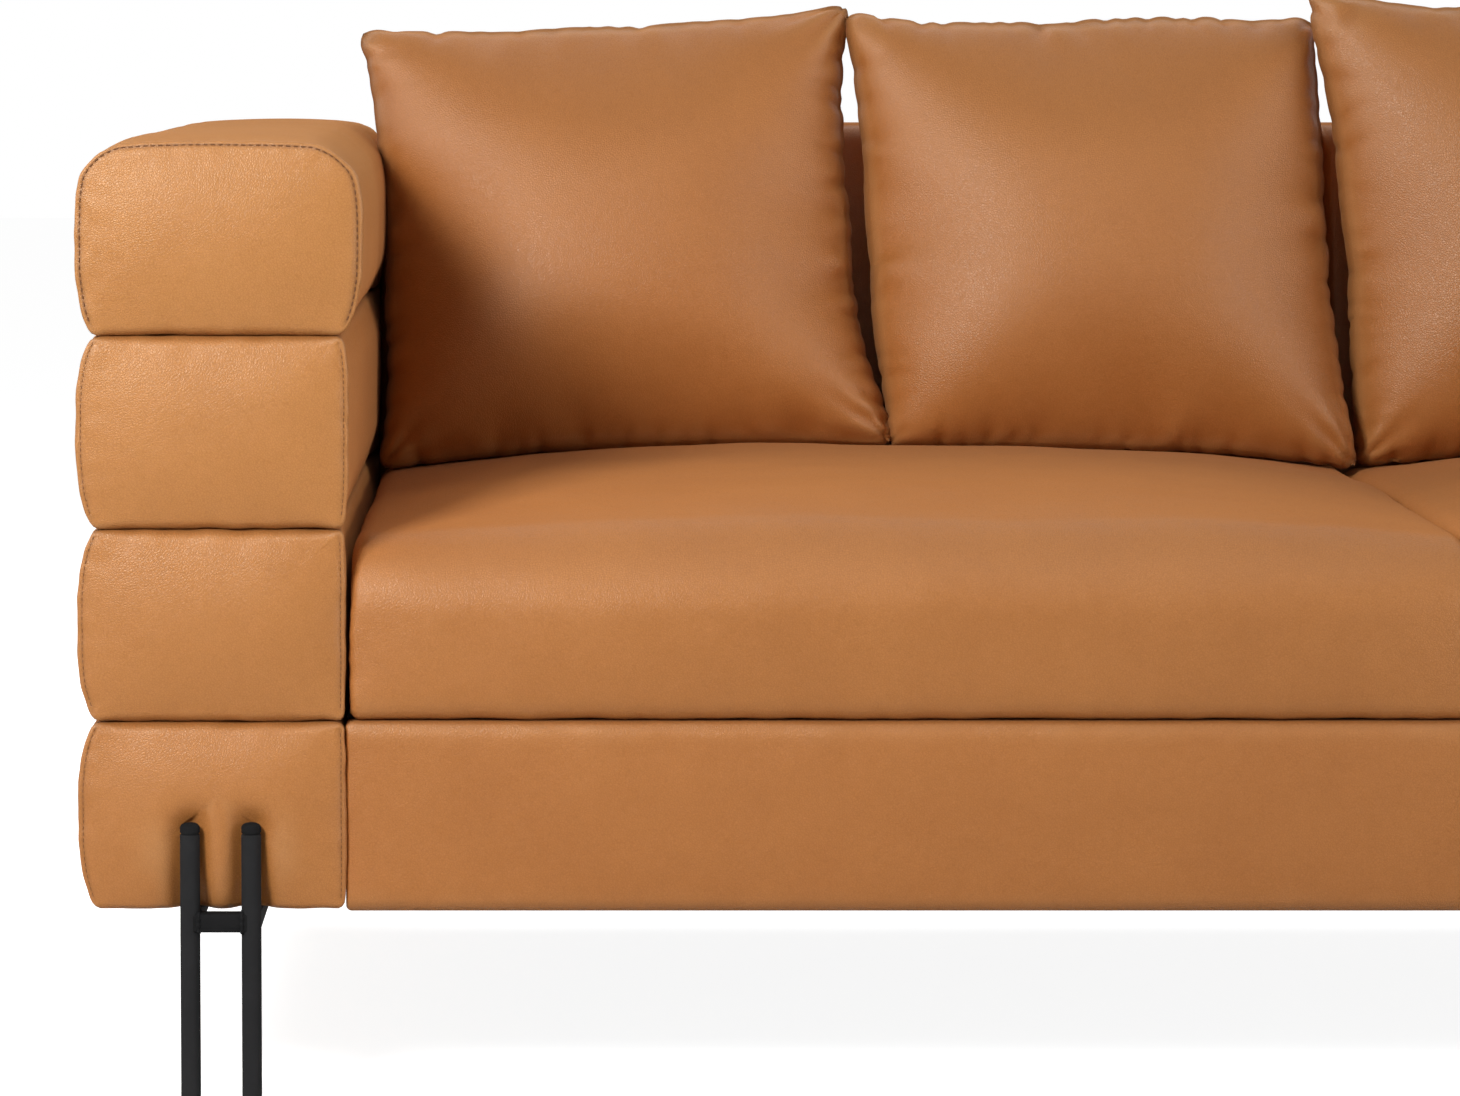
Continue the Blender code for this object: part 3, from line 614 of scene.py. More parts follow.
def press_rods(points):
    """Presses the lowest roll in round the leg rods, front and rear."""
    x, y, z = points.T
    dent = np.zeros(len(points))
    for rod in ROD_PLACES:
        away_x = np.maximum(np.abs(x - rod) - ROD_RADIUS * 0.7, 0.0)
        away_z = np.maximum(z - DENT_TOP, 0.0)
        dent = np.maximum(dent, bell(np.hypot(away_x / 0.0085, away_z / 0.0125), 1.0))
    depth = np.abs(y) - 0.0105 * dent * step_up(np.abs(y), 0.36, 0.398)
    for rod in ROD_PLACES:
        aside = np.abs(x - rod)
        room = ROD_AHEAD - np.sqrt(np.maximum((ROD_RADIUS + CLEAR) ** 2 - aside ** 2, 0.0))
        inside = (aside < ROD_RADIUS + CLEAR) & (z < ROD_TOP)
        depth = np.where(inside, np.minimum(depth, room), depth)
    y[:] = np.where(np.abs(y) > 0.36, np.sign(y) * depth, y)


def make_roll(side, number):
    """One padded roll of an arm: swollen sides, pinched above and below, sewn front and rear panels.

    It is made for the left arm, and turned over for the right one.
    """
    node = f"{side}_arm_roll_{number}"
    low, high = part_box(node)
    top = number == 4
    bottom = number == 1
    inner_swell = ARM_INNER - min(abs(low.x), abs(high.x)) + 0.0005
    half_x = (ARM_OUTER - ARM_INNER) / 2
    middle_x = -(ARM_OUTER + ARM_INNER) / 2
    middle_z = (low.z + high.z) / 2
    half_z = (high.z - low.z) / 2
    radii = (0.005, 0.006, 0.027 if top else 0.006, 0.026 if top else 0.005)
    spots, ways = box_outline((-half_x, -half_z), (half_x, half_z), radii, 192)
    sides = ways[:, 0] ** 2
    above = 0.0026 if top else 0.008
    below = 0.005 if bottom else 0.008
    edge = 0.0030 * sides + np.where(ways[:, 1] > 0, above, below) * (1 - sides)
    inward = spots[:, 0] > 0
    limit = 0.7 * np.where(spots[:, 1] > 0, np.where(inward, radii[2], radii[3]),
                           np.where(inward, radii[1], radii[0]))
    turning = np.abs(ways).min(1) > 0.02
    for _ in range(12):
        edge = np.where(turning, np.minimum(edge, limit), edge)
        edge = (np.roll(edge, 1) + edge * 2 + np.roll(edge, -1)) / 4
    spots = spots + (middle_x, middle_z)

    def shape(points):
        x, y, z = points.T
        across = (x - middle_x) / half_x
        wide = share(across, 1)
        rise = np.clip((z - middle_z) / half_z, -1, 1)
        back = pad_plane(z)
        inner = inner_swell * step_up(back - y, 0.001, 0.03)
        if top:
            inner = inner + 0.006 * step_up(-y, -0.05, 0.15)
        swell = np.where(across < 0, ROLL_SWELL, inner) * (1 - np.abs(rise) ** 3.2)
        x += np.sign(across) * swell * wide ** 2
        face = step_up(np.abs(y), 0.392, ROLL_END)
        y += np.sign(y) * ROLL_CROWN * face * (1 - wide ** 3.0) * (1 - np.abs(rise) ** 2.2)
        length = share(y, ROLL_END)
        pinched = np.abs(np.minimum(rise, 0.0) if top else rise)
        free = step_up(back - y, 0.0, 0.10) * (1 - length ** 8)
        x -= 0.006 * free * step_up(pinched, 0.5, 1.0) * step_up(across, 0.4, 1.0)
        pressed = step_up(y - back, 0.005, 0.03) * (across > 0.85) * (pinched > 0.8)
        x += pressed * np.maximum(-ARM_INNER - x, 0.0)
        if top:
            z -= 0.0045 * wide ** FULLNESS * step_up(rise, 0.0, 0.9)
            z += (0.0015 + TOP_SWELL * (1 - length ** 8)) * step_up(rise, 0.1, 1.0)
            shoulder = (1 - length ** 3) * step_up(np.abs(across), 0.5, 1.0) * step_up(rise, 0.2, 1.0)
            ease = np.where(across > 0, 0.0045, 0.0015) * shoulder
            x -= np.sign(across) * ease
            z -= ease
        return points

    form = Stuffed(node + "_cover", 1, -ROLL_END, ROLL_END, spots, ways, edge, 0.0,
                   (middle_x, middle_z + (0.018 if bottom else 0.0)), 52, shape)
    obj = form.obj
    seed = number + (0.0 if side == "left" else 9.0)
    weights = step_up(np.abs(ways[:, 0]), 0.35, 0.75)
    if top:
        weights = np.maximum(weights, step_up(ways[:, 1], -0.2, 0.3))
    weights = weights * step_up(spots[:, 1] - low.z, 0.004, 0.012)
    dark = sew(form, weights, seed=seed) * (1.0 if top else 0.5)
    points = coords(obj)
    pinch = points[:, 2] - low.z
    if not top:
        pinch = np.minimum(pinch, high.z - points[:, 2])
    pinch = np.maximum(pinch, 0.0)
    near = bell(pinch, 0.020)
    fold = drift(points * (1.0, 1.0, 0.35), 1.0 / 0.021, seed + 3.0)
    slow = drift(points, 1.0 / 0.085, seed + 5.0)
    push(obj, 0.0013 * near * fold + 0.0010 * slow * (1 - 0.7 * near))
    points = coords(obj)
    if bottom:
        press_rods(points)
    points[:, 2] = np.clip(points[:, 2], low.z, high.z + (TOP_SWELL + 0.002 if top else 0.0))
    if side == "right":
        points[:, 0] *= -1
        obj.data.flip_normals()
    set_coords(obj, points)
    # Besides the seams, the leather is darkened where one roll presses on the next: painted shade in the
    # crease.
    seam = dark + 0.45 * bell(pinch, 0.0035)
    # Each roll up the arm gets a paler tone: painted light, as if more light falls on the upper rolls.
    finish_soft(obj, seam, 2600.0, 0.38 + 0.08 * (number - 1), ROOT, 0.9, node)
    pitch, length, radius = (0.0056, 0.0041, 0.00058) if top else (0.0047, 0.0033, 0.00028)
    stitch_ends(form, node, weights, 0, ("front", "rear"), ROOT, pitch=pitch, length=length, radius=radius)
    return obj


def make_seat(side):
    """A loose seat cushion with a rolled front edge and a crowned top, its zip across the rear."""
    node = f"{side}_seat_cover"
    low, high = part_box(node)
    body = f"{side}_seat"
    front = low.y + SEAT_FRONT_CROWN
    rear = high.y
    top = low.z + SEAT_EDGE_HEIGHT
    spots, ways = box_outline((front, low.z), (rear, top), (0.014, 0.010, 0.024, 0.055), 250)
    edge = 0.007 + 0.007 * np.clip(ways[:, 1], 0, 1) ** 2
    centre = Vector(((low.x + high.x) / 2, (front + rear) / 2, (low.z + top) / 2))
    half = Vector(((high.x - low.x) / 2, (rear - front) / 2, (top - low.z) / 2))
    seed = 21.0 if side == "left" else 33.0

    def shape(points):
        x, y, z = points.T
        across = share(x - centre.x, half.x)
        along = share(y - centre.y, half.y)
        rise = np.clip((z - centre.z) / half.z, -1, 1)
        ahead = step_up((centre.y - y) / half.y, 0.80, 1.0)
        lengthwise = np.where(y > centre.y, 1 - along ** 4, 1 - along ** FULLNESS)
        z += SEAT_CROWN * (1 - across ** 3) * lengthwise * step_up(rise, -0.3, 1.0)
        level = np.clip(1 - ((z - low.z - 0.055) / 0.055) ** 2, 0, 1)
        x += np.sign(x - centre.x) * SEAT_SIDE_SWELL * step_up(across, 0.97, 1.0) * level
        y -= SEAT_FRONT_CROWN * ahead * (1 - across ** 8) * (1 - np.abs(rise) ** FULLNESS)
        return points

    form = Stuffed(node + "_leather", 0, low.x, high.x, spots, ways, edge, -0.0015,
                   (centre.y, centre.z), 130, shape)
    obj = form.obj
    weights = step_up(ways[:, 1], -0.9, -0.5)
    dark = sew(form, weights, depth=0.0010, pucker=0.0006, seed=seed)
    points = coords(obj)
    floor = np.maximum(points[:, 2] - low.z, 0.0)
    slow = drift(points, 1.0 / 0.16, seed + 1.0)
    soft = drift(points, 1.0 / 0.045, seed + 2.0)
    fold = drift(points * (1.0, 0.4, 0.4), 1.0 / 0.024, seed + 4.0)
    push(obj, 0.0034 * slow * step_up(floor, 0.0, 0.05) + 0.0006 * soft + 0.0012 * bell(floor, 0.022) * fold)
    points = coords(obj)
    x, y, z = points.T
    zip_low, zip_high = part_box(f"{side}_seat_zip_panel")
    inside = np.minimum(np.minimum(x - zip_low.x, zip_high.x - x), np.minimum(z - zip_low.z, zip_high.z - z))
    y -= 0.0045 * step_up(inside, -0.006, 0.001) * step_up(y, rear - 0.02, rear - 0.004)
    x[:] = np.clip(x, low.x - SEAT_SIDE_SWELL * (side == "left"), high.x + SEAT_SIDE_SWELL * (side == "right"))
    y[:] = np.minimum(y, rear)
    z[:] = np.maximum(z, low.z)
    set_coords(obj, points)
    # Besides the seams, the leather is darkened along the cushion's foot, where it sits on the deck: painted
    # shade.
    finish_soft(obj, dark + 0.35 * bell(floor, 0.003), 900.0, 0.30 if side == "left" else 0.34,
                body, 0.85, node, f"{side}_seat_core")
    stitch_ends(form, node, weights, 2, SIDES, body)
    make_zip(side, zip_low, zip_high, rear, body)
    return obj


def make_zip(side, low, high, rear, body):
    """Zip across the rear of a seat cushion: two woven tapes, interlocked teeth and a slider."""
    middle = (low.z + high.z) / 2
    points, faces = [], []

    def block(x0, x1, y0, y1, z0, z1, chamfer):
        faces.extend(tube_faces(3, 4, len(points)))
        for y, inset in ((y0, 0.0), (y1 - chamfer, 0.0), (y1, chamfer)):
            points.extend([(x0 + inset, y, z0 + inset), (x1 - inset, y, z0 + inset),
                           (x1 - inset, y, z1 - inset), (x0 + inset, y, z1 - inset)])

    face = rear - 0.0040
    block(low.x, high.x, face - 0.002, face, low.z, middle - 0.0016, 0.0004)
    block(low.x, high.x, face - 0.002, face, middle + 0.0016, high.z, 0.0004)
    pitch = 0.0028
    for tooth in range(int((high.x - low.x - 0.012) / pitch)):
        x = low.x + 0.006 + tooth * pitch
        centre = middle + (0.0009 if tooth % 2 else -0.0009)
        block(x, x + 0.0019, face - 0.001, face + 0.0014, centre - 0.0022, centre + 0.0022, 0.0004)
    slider = high.x - 0.030
    block(slider, slider + 0.010, face, face + 0.0026, middle - 0.0048, middle + 0.0048, 0.0008)
    block(slider - 0.016, slider + 0.002, face + 0.0015, face + 0.0030,
          middle - 0.0030, middle + 0.0030, 0.0006)
    zip_piece = new_piece(f"{side}_seat_zip", points, faces, TAPE, smooth=False)
    carry(zip_piece, body, "black_cloth", f"{side}_seat_zip_panel")


def make_pad(side):
    """A back pad: a leaning padded front that rolls over the top of the back."""
    node = f"{side}_back_pad"
    low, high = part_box(node)
    board_low, board_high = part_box("back_board")
    board_front = board_low.y - 0.0003
    board_top = board_high.z + 0.0003
    top_front = pad_plane(high.z)
    corners = [(low.y, low.z), (board_front, low.z), (board_front, board_top), (high.y, board_top),
               (high.y, high.z), (top_front, high.z)]
    spots, ways = outline(corners, (0.010, 0.004, 0.003, 0.003, 0.012, 0.030), 200)
    edge = 0.004 + 0.008 * np.clip(-ways[:, 0], 0, 1) ** 2
    hub = ((top_front + board_low.y) / 2, (board_high.z + high.z) / 2)
    seed = 51.0 if side == "left" else 57.0
    form = Stuffed(node + "_leather", 0, low.x, high.x, spots, ways, edge, 0.0, hub, 90, eased=False)
    obj = form.obj
    dark = sew(form, step_up(-ways[:, 0], 0.1, 0.5), depth=0.0009, pucker=0.0004, seed=seed)
    points = coords(obj)
    ahead = bell(points[:, 1] - pad_plane(points[:, 2]), 0.02)
    across = share(points[:, 0] - (low.x + high.x) / 2, (high.x - low.x) / 2)
    sink = 0.0012 * drift(points, 1.0 / 0.12, seed) + 0.0006 * drift(points, 1.0 / 0.04, seed + 1.0) - 0.0006
    push(obj, sink * ahead * (1 - across ** 6))
    points = coords(obj)
    x, y, z = points.T
    x[:] = np.clip(x, low.x, high.x)
    z[:] = np.clip(z, low.z, high.z + 0.002)
    y[:] = np.maximum(y, pad_plane(z) + 0.0002)
    set_coords(obj, points)
    finish_soft(obj, dark, 1500.0, 0.18 if side == "left" else 0.22, ROOT, 0.85, node)


def make_panel(node, facing, seamed, radius, count, drop):
    """A padded board under leather, with an upright seam where two hides are joined."""
    low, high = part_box(node)
    spots, ways = box_outline((low.y, low.z - drop), (high.y, high.z), (radius,) * 4, count)
    edge = np.full(len(spots), 0.004)
    centre = ((low.y + high.y) / 2, (low.z + high.z) / 2)
    half_z = (high.z - low.z) / 2
    seed = 71.0 + facing
    obj = Stuffed(node + "_leather", 0, low.x, high.x, spots, ways, edge, 0.0, centre, 200).obj
    points = coords(obj)
    x, y, z = points.T
    outer = step_up(-np.abs(y - (high.y if facing > 0 else low.y)), -0.010, -0.001)
    aside = np.abs(x - (low.x + high.x) / 2)
    across = share(aside, (high.x - low.x) / 2)
    rise = share(z - centre[1], half_z)
    rim = (1 - rise) * half_z
    away = aside if seamed else np.full(len(points), 1.0)
    swell = PANEL_CROWN * (1 - across ** 10) * (1 - rise ** FULLNESS) - PANEL_CROWN
    rub = 0.0016 * drift(points, 1.0 / 0.13, seed) + 0.0006 * drift(points, 1.0 / 0.035, seed + 2.0)
    fold = 0.0012 * bell(rim, 0.016) * drift(points * (1.0, 0.4, 0.4), 1.0 / 0.022, seed + 4.0)
    groove = -0.0016 * bell(away, 0.002) - 0.0012 * bell(away, 0.02)
    y += facing * outer * (swell + rub + fold + groove)
    y[:] = np.clip(y, low.y - 0.001, high.y + 0.001)
    set_coords(obj, points)
    # Dark at the upright seam, and darkened along the panel's top and bottom edges: painted shade where it
    # meets other parts.
    finish_soft(obj, bell(away, 0.002) * outer + 0.4 * bell(rim, 0.003), 1500.0, 0.22, ROOT, 0.9, node)


PILLOW_CELLS = 64
PILLOW_BLANK = (0.215, 0.210)    # half sizes before it is blown up
PILLOW_CLOTH = {
    "quality": 5, "mass": 0.3, "tension_stiffness": 20.0, "compression_stiffness": 20.0, "shear_stiffness": 7.0,
    "bending_stiffness": 1.0, "vertex_group_mass": "edge", "pin_stiffness": 0.3, "shrink_min": -0.06,
    "use_pressure": True, "uniform_pressure_force": 6.0,
}
PILLOW_STEPS = 20


def sheet_side(i, j, side, cells):
    """0 on the shared edge, and otherwise the sheet's own side."""
    return 0 if i in (0, cells) or j in (0, cells) else side


def double_sheet(cells):
    """Two square sheets joined at their edges: the index of each (column, row, side), and the faces."""
    places, faces = {}, []

    def spot(i, j, side):
        return places.setdefault((i, j, sheet_side(i, j, side, cells)), len(places))

    for side in (1, -1):
        for i in range(cells):
            for j in range(cells):
                face = [spot(i + right, j + up, side) for right, up in ((0, 0), (1, 0), (1, 1), (0, 1))]
                faces.append(face if side > 0 else face[::-1])
    return places, faces


def refined(grid):
    """A grid with twice as many cells each way, curved smoothly between its points."""
    for _ in range(2):
        wide = np.concatenate([2 * grid[:1] - grid[1:2], grid, 2 * grid[-1:] - grid[-2:-1]])
        fine = np.empty((2 * len(grid) - 1,) + grid.shape[1:])
        fine[::2] = grid
        fine[1::2] = (9 * (wide[1:-2] + wide[2:-1]) - wide[:-3] - wide[3:]) / 16
        grid = fine.swapaxes(0, 1)
    return grid


def sewn_pillow(seed):
    """Two leather sheets sewn at the edge and blown up by simulation, then eased smooth in the middle.

    Gives the front and the rear grid of points, for a pillow about 430 x 420 mm.
    """
    cells = PILLOW_CELLS
    random = np.random.default_rng(seed)
    places, faces = double_sheet(cells)
    points = []
    for i, j, side in places:
        u = 2 * i / cells - 1
        v = 2 * j / cells - 1
        rise = 0.045 * math.sqrt(max(0.0, (1 - u * u) * (1 - v * v)))
        points.append((u * PILLOW_BLANK[0], v * PILLOW_BLANK[1], side * (rise + random.normal() * 0.0002)))
    obj = new_piece(f"pillow_blank_{seed}", points, faces, LEATHER, turn=False)
    held = obj.vertex_groups.new(name="edge")
    held.add([index for (i, j, side), index in places.items() if side == 0], 0.5, "REPLACE")
    cloth = obj.modifiers.new("blown", "CLOTH")
    for key, value in PILLOW_CLOTH.items():
        setattr(cloth.settings, key, value)
    cloth.settings.effector_weights.gravity = 0.0
    cloth.collision_settings.use_collision = False
    cloth.point_cache.frame_start = 1
    cloth.point_cache.frame_end = PILLOW_STEPS
    for count in range(1, PILLOW_STEPS + 1):
        scene.frame_set(count)
    shaped = obj.evaluated_get(bpy.context.evaluated_depsgraph_get()).to_mesh()
    blown = np.array([vert.co[:] for vert in shaped.vertices])
    scene.frame_set(1)
    grids = []
    steps = np.arange(cells + 1)
    inward = np.minimum(steps, cells - steps)
    depth = np.minimum(inward[:, None], inward[None, :]) / cells * 2 * PILLOW_BLANK[0]
    ease = 0.8 * np.clip((depth - 0.006) / 0.075, 0.05, 1.0)[..., None]
    for side in (1, -1):
        grid = blown[np.array([[places[(i, j, sheet_side(i, j, side, cells))] for j in steps] for i in steps])]
        for rim in (grid[0], grid[-1], grid[:, 0], grid[:, -1]):
            for _ in range(14):
                rim[1:-1] = (rim[:-2] + 2 * rim[1:-1] + rim[2:]) / 4
        for _ in range(45):
            mean = grid.copy()
            mean[1:-1, 1:-1] = (grid[2:, 1:-1] + grid[:-2, 1:-1] + grid[1:-1, 2:] + grid[1:-1, :-2]) / 4
            grid = grid + (mean - grid) * ease
        grids.append(refined(grid))
    bpy.data.objects.remove(obj)
    return grids


# How far a pillow's corners reach past the solid's, along its width and its height, and over what distance
PILLOW_EARS = {
    1: {(-1, 1): (-0.011, 0.003, 0.055), (1, 1): (0.013, 0.008, 0.055), (1, -1): (0.027, 0.0, 0.08),
        (-1, -1): (-0.006, 0.0, 0.05)},
    2: {(-1, 1): (-0.005, 0.014, 0.055), (1, 1): (0.001, -0.003, 0.055), (-1, -1): (0.016, 0.0, 0.10),
        (1, -1): (0.012, 0.0, 0.08)},
    3: {(-1, 1): (-0.015, 0.018, 0.07)},
    4: {(1, 1): (0.003, 0.009, 0.055)},
}
# Corners where the leather runs together in pleats
PILLOW_PLEATS = {1: ((1, -1), (-1, -1), (1, 1)), 2: ((1, -1),), 3: ((-1, -1), (1, 1)), 4: ((1, -1), (-1, 1))}
# How far a pillow's top stands higher than the solid's, and its left, right and top edges bow out
PILLOW_RISE = {1: 0.0, 2: 0.0, 3: 0.012, 4: 0.0}
PILLOW_SIDES = {1: (0.0, 0.006), 2: (-0.005, 0.004), 3: (-0.001, 0.004), 4: (0.002, 0.0)}
PILLOW_TOPS = {1: 0.001, 2: 0.005, 3: 0.002, 4: 0.004}
CORNER_RADIUS = 0.020
FOLDS = 34                       # most folds along one edge


def gather(points, width, number):
    """Draws the leather into short folds along the sewn edge and rounds the pillow's corners."""
    random = np.random.default_rng(100 + number)
    half = np.array((width / 2, PILLOW_HEIGHT / 2))
    facing = np.sign(points[:, 2])
    for axis in (0, 1):
        along = points[:, 1 - axis]
        for side in (-1, 1):
            inset = np.maximum(half[axis] - side * points[:, axis], 0.0)
            spots = np.cumsum(random.uniform(0.013, 0.038, FOLDS)) - half[1 - axis]
            folds = np.zeros(len(points))
            for spot, depth in zip(spots, random.uniform(0.2, 1.0, FOLDS)):
                slant = random.uniform(-0.35, 0.35)
                folds += depth * bell(along - spot - slant * inset, 0.0060)
            fade = bell(inset, 0.020) * inset / (inset + 0.003)
            points[:, 2] -= facing * 0.0054 * folds * fade
            points[:, axis] -= side * 0.0027 * folds * bell(inset, 0.010)
    for side_x in (-1, 1):
        for side_y in (-1, 1):
            away = half - points[:, :2] * (side_x, side_y)
            into = np.maximum(CORNER_RADIUS - away, 0.0)
            reach = np.hypot(into[:, 0], into[:, 1])
            scale = np.where((into > 0).all(1), into.max(1) / np.maximum(reach, 1e-6), 1.0)
            points[:, :2] += (into * (1 - scale)[:, None]) * (-side_x, -side_y)
            if (side_x, side_y) in PILLOW_PLEATS[number]:
                reach = np.hypot(away[:, 0], away[:, 1])
                turn = np.arctan2(away[:, 1], away[:, 0])
                pleats = (0.5 - 0.5 * np.cos(12.0 * turn + random.uniform(-0.6, 0.6))) ** 1.5
                points[:, 2] -= facing * 0.0070 * pleats * bell(reach, 0.050) * reach / (reach + 0.008)
    return points


def seat_height(seats, place):
    """The highest seat surface under a place, or a height below them all."""
    hits = [tree.ray_cast(Vector((place[0], place[1], 0.60)), Vector((0.0, 0.0, -1.0)))[0] for tree in seats]
    return max([hit.z for hit in hits if hit is not None], default=-1.0)


def settle(world, across, seats, neighbours):
    """Keeps a pillow's points clear of the back, the seats, the arms and the pillows beside it."""
    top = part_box("left_back_pad")[1].z
    for _ in range(2):
        plane = pad_plane(world[:, 2]) - CLEAR
        behind = step_up(-world[:, 2], -top - 0.028, -top + 0.012)
        world[:, 1] = np.minimum(world[:, 1], plane * behind + (plane + 0.05) * (1 - behind))
        for index in np.flatnonzero(world[:, 2] <= 0.50):
            world[index, 2] = max(world[index, 2], seat_height(seats, world[index]) + CLEAR)
    middle = Vector(world.mean(0))
    for index in np.flatnonzero(np.abs(across) > 0.7):
        way = Vector(world[index]) - middle
        for tree in neighbours:
            reach = tree.ray_cast(middle, way, way.length + CLEAR)[3]
            if reach is not None:
                way = way.normalized() * (reach - CLEAR)
        world[index] = middle + way


def make_pillow(number, seats, neighbours):
    """A loose knife-edged pillow that sits on a seat and leans on the back, pressed where it touches."""
    node = f"pillow_{number}"
    lean = math.radians(PILLOW_LEANS[number - 1])
    tilt = math.radians(PILLOW_TILTS[number - 1])
    turn = Matrix.Rotation(math.pi / 2 - lean, 3, "X") @ Matrix.Rotation(tilt, 3, "Z")
    right, up, out = [np.array(turn @ Vector(axis)) for axis in ((1, 0, 0), (0, 1, 0), (0, 0, 1))]
    solid = coords(frame["nodes"][node])
    top_left = solid[np.argmax(solid @ (up - right))]
    top_right = solid[np.argmax(solid @ (up + right))]
    centre = (top_left + top_right) / 2 - up * PILLOW_HEIGHT / 2
    width = np.linalg.norm(top_right - top_left)

    grids = sewn_pillow(number)
    cells = 2 * PILLOW_CELLS
    places, faces = double_sheet(cells)
    corners = grids[0][[0, 0, -1, -1], [0, -1, 0, -1]]
    wide, tall = np.abs(corners[:, :2]).mean(0) * 2
    thick = (grids[0][..., 2] - grids[1][..., 2]).max()
    size = (width / wide, PILLOW_HEIGHT / tall, PILLOW_THICKNESS / thick)
    points = np.empty((len(places), 3))
    inner = np.empty(len(places))
    for (i, j, side), index in places.items():
        points[index] = grids[1 if side < 0 else 0][i, j] * size
        inner[index] = min(i, j, cells - i, cells - j) / cells * PILLOW_HEIGHT
    x, y, z = points.T
    across = x / (width / 2)
    rise = y / (PILLOW_HEIGHT / 2)
    swell = np.abs(z) / (PILLOW_THICKNESS / 2)
    z[:] = np.sign(z) * PILLOW_THICKNESS / 2 * swell ** 0.76
    z *= 1 + 0.16 * (1 - rise) / 2
    y += PILLOW_RISE[number] * np.clip((1 + rise) / 2, 0, 1) ** 2
    bow = (1 - np.clip(rise, -1, 1) ** 2) * share(across, 1) ** 6
    x += np.where(across < 0, -PILLOW_SIDES[number][0], PILLOW_SIDES[number][1]) * bow
    y += PILLOW_TOPS[number] * np.clip(1 - across ** 2, 0, 1) * np.clip(rise, 0, 1) ** 6
    gather(points, width, number)
    for (side_x, side_y), (move_x, move_y, reach) in PILLOW_EARS[number].items():
        near = bell(np.hypot((across - side_x) * width / 2, (rise - side_y) * PILLOW_HEIGHT / 2), reach)
        x += move_x * near
        y += move_y * near
    rimmed = inner < 1e-6
    points[rimmed, :2] *= 1 + 0.0016 / np.maximum(np.linalg.norm(points[rimmed, :2], axis=1), 0.1)[:, None]

    world = centre + points[:, :1] * right + points[:, 1:2] * up + points[:, 2:] * out
    foot = [places[(i, 0, 0)] for i in range(cells + 1)]
    lift = np.array([max(0.0, seat_height(seats, world[index]) + 0.002 - world[index, 2]) for index in foot])
    for _ in range(6):
        lift = np.maximum(lift, np.convolve(np.pad(lift, 4, "edge"), np.ones(9) / 9, "valid"))
    columns = np.interp(across, np.linspace(-1, 1, len(foot)), lift)
    world[:, 2] += columns * (np.clip(1 - rise, 0, 2) / 2) ** 2.2
    settle(world, across, seats, neighbours)
    obj = new_piece(node + "_leather", world, faces, LEATHER, turn=False)
    return finish_soft(obj, 0.55 * bell(inner, 0.0035), 2800.0, 0.22 + 0.03 * number, node, 0.75, node)


def lathe(profile, place, steps):
    """Points and faces of a turned form; the profile runs from the axis at the top to the axis at the foot."""
    points = []
    for radius, height in profile:
        for step in range(steps):
            angle = 2 * math.pi * step / steps
            points.append((place[0] + radius * math.cos(angle), place[1] + radius * math.sin(angle), height))
    return points, tube_faces(len(profile), steps)


def bar(low, high):
    """Points and faces of a square bar with rolled edges."""
    shape = bmesh.new()
    size = Vector(high) - Vector(low)
    bmesh.ops.create_cube(shape, size=1.0, matrix=Matrix.Translation((Vector(low) + Vector(high)) / 2)
                          @ Matrix.Diagonal((*size, 1.0)))
    bmesh.ops.bevel(shape, geom=shape.edges[:], offset=BEVEL, segments=4, profile=0.5, affect="EDGES")
    shape.verts.index_update()
    points = [tuple(vert.co) for vert in shape.verts]
    faces = [[vert.index for vert in face.verts] for face in shape.faces]
    shape.free()
    return points, faces


def bead(centre, radius, half, seed):
    """A weld round a square bar where it meets a rod, seen as an uneven rounded cord."""
    count, spokes = 48, 8
    loop, ways = box_outline((-half, -half), (half, half), (0.0025,) * 4, count)
    points = []
    for index, ((y, z), way) in enumerate(zip(loop, ways)):
        swell = 0.0013 * (1.0 + 0.35 * math.sin(index * math.pi / 2 + seed))
        for step in range(spokes):
            angle = 2 * math.pi * step / spokes
            points.append((centre[0] + radius + swell * math.cos(angle) * (1 if radius > 0 else -1),
                           centre[1] + y + way[0] * swell * math.sin(angle),
                           centre[2] + z + way[1] * swell * math.sin(angle)))
    return points, ring_faces(count, spokes, closed=True)


def join(name, parts, material):
    """One piece from several sets of points and faces, with its hard edges kept sharp."""
    points, faces = [], []
    for more_points, more_faces in parts:
        start = len(points)
        points.extend(more_points)
        faces.extend([tuple(index + start for index in face) for face in more_faces])
    obj = new_piece(name, points, faces, material)
    obj.data.set_sharp_from_angle(angle=math.radians(35.0))
    return obj


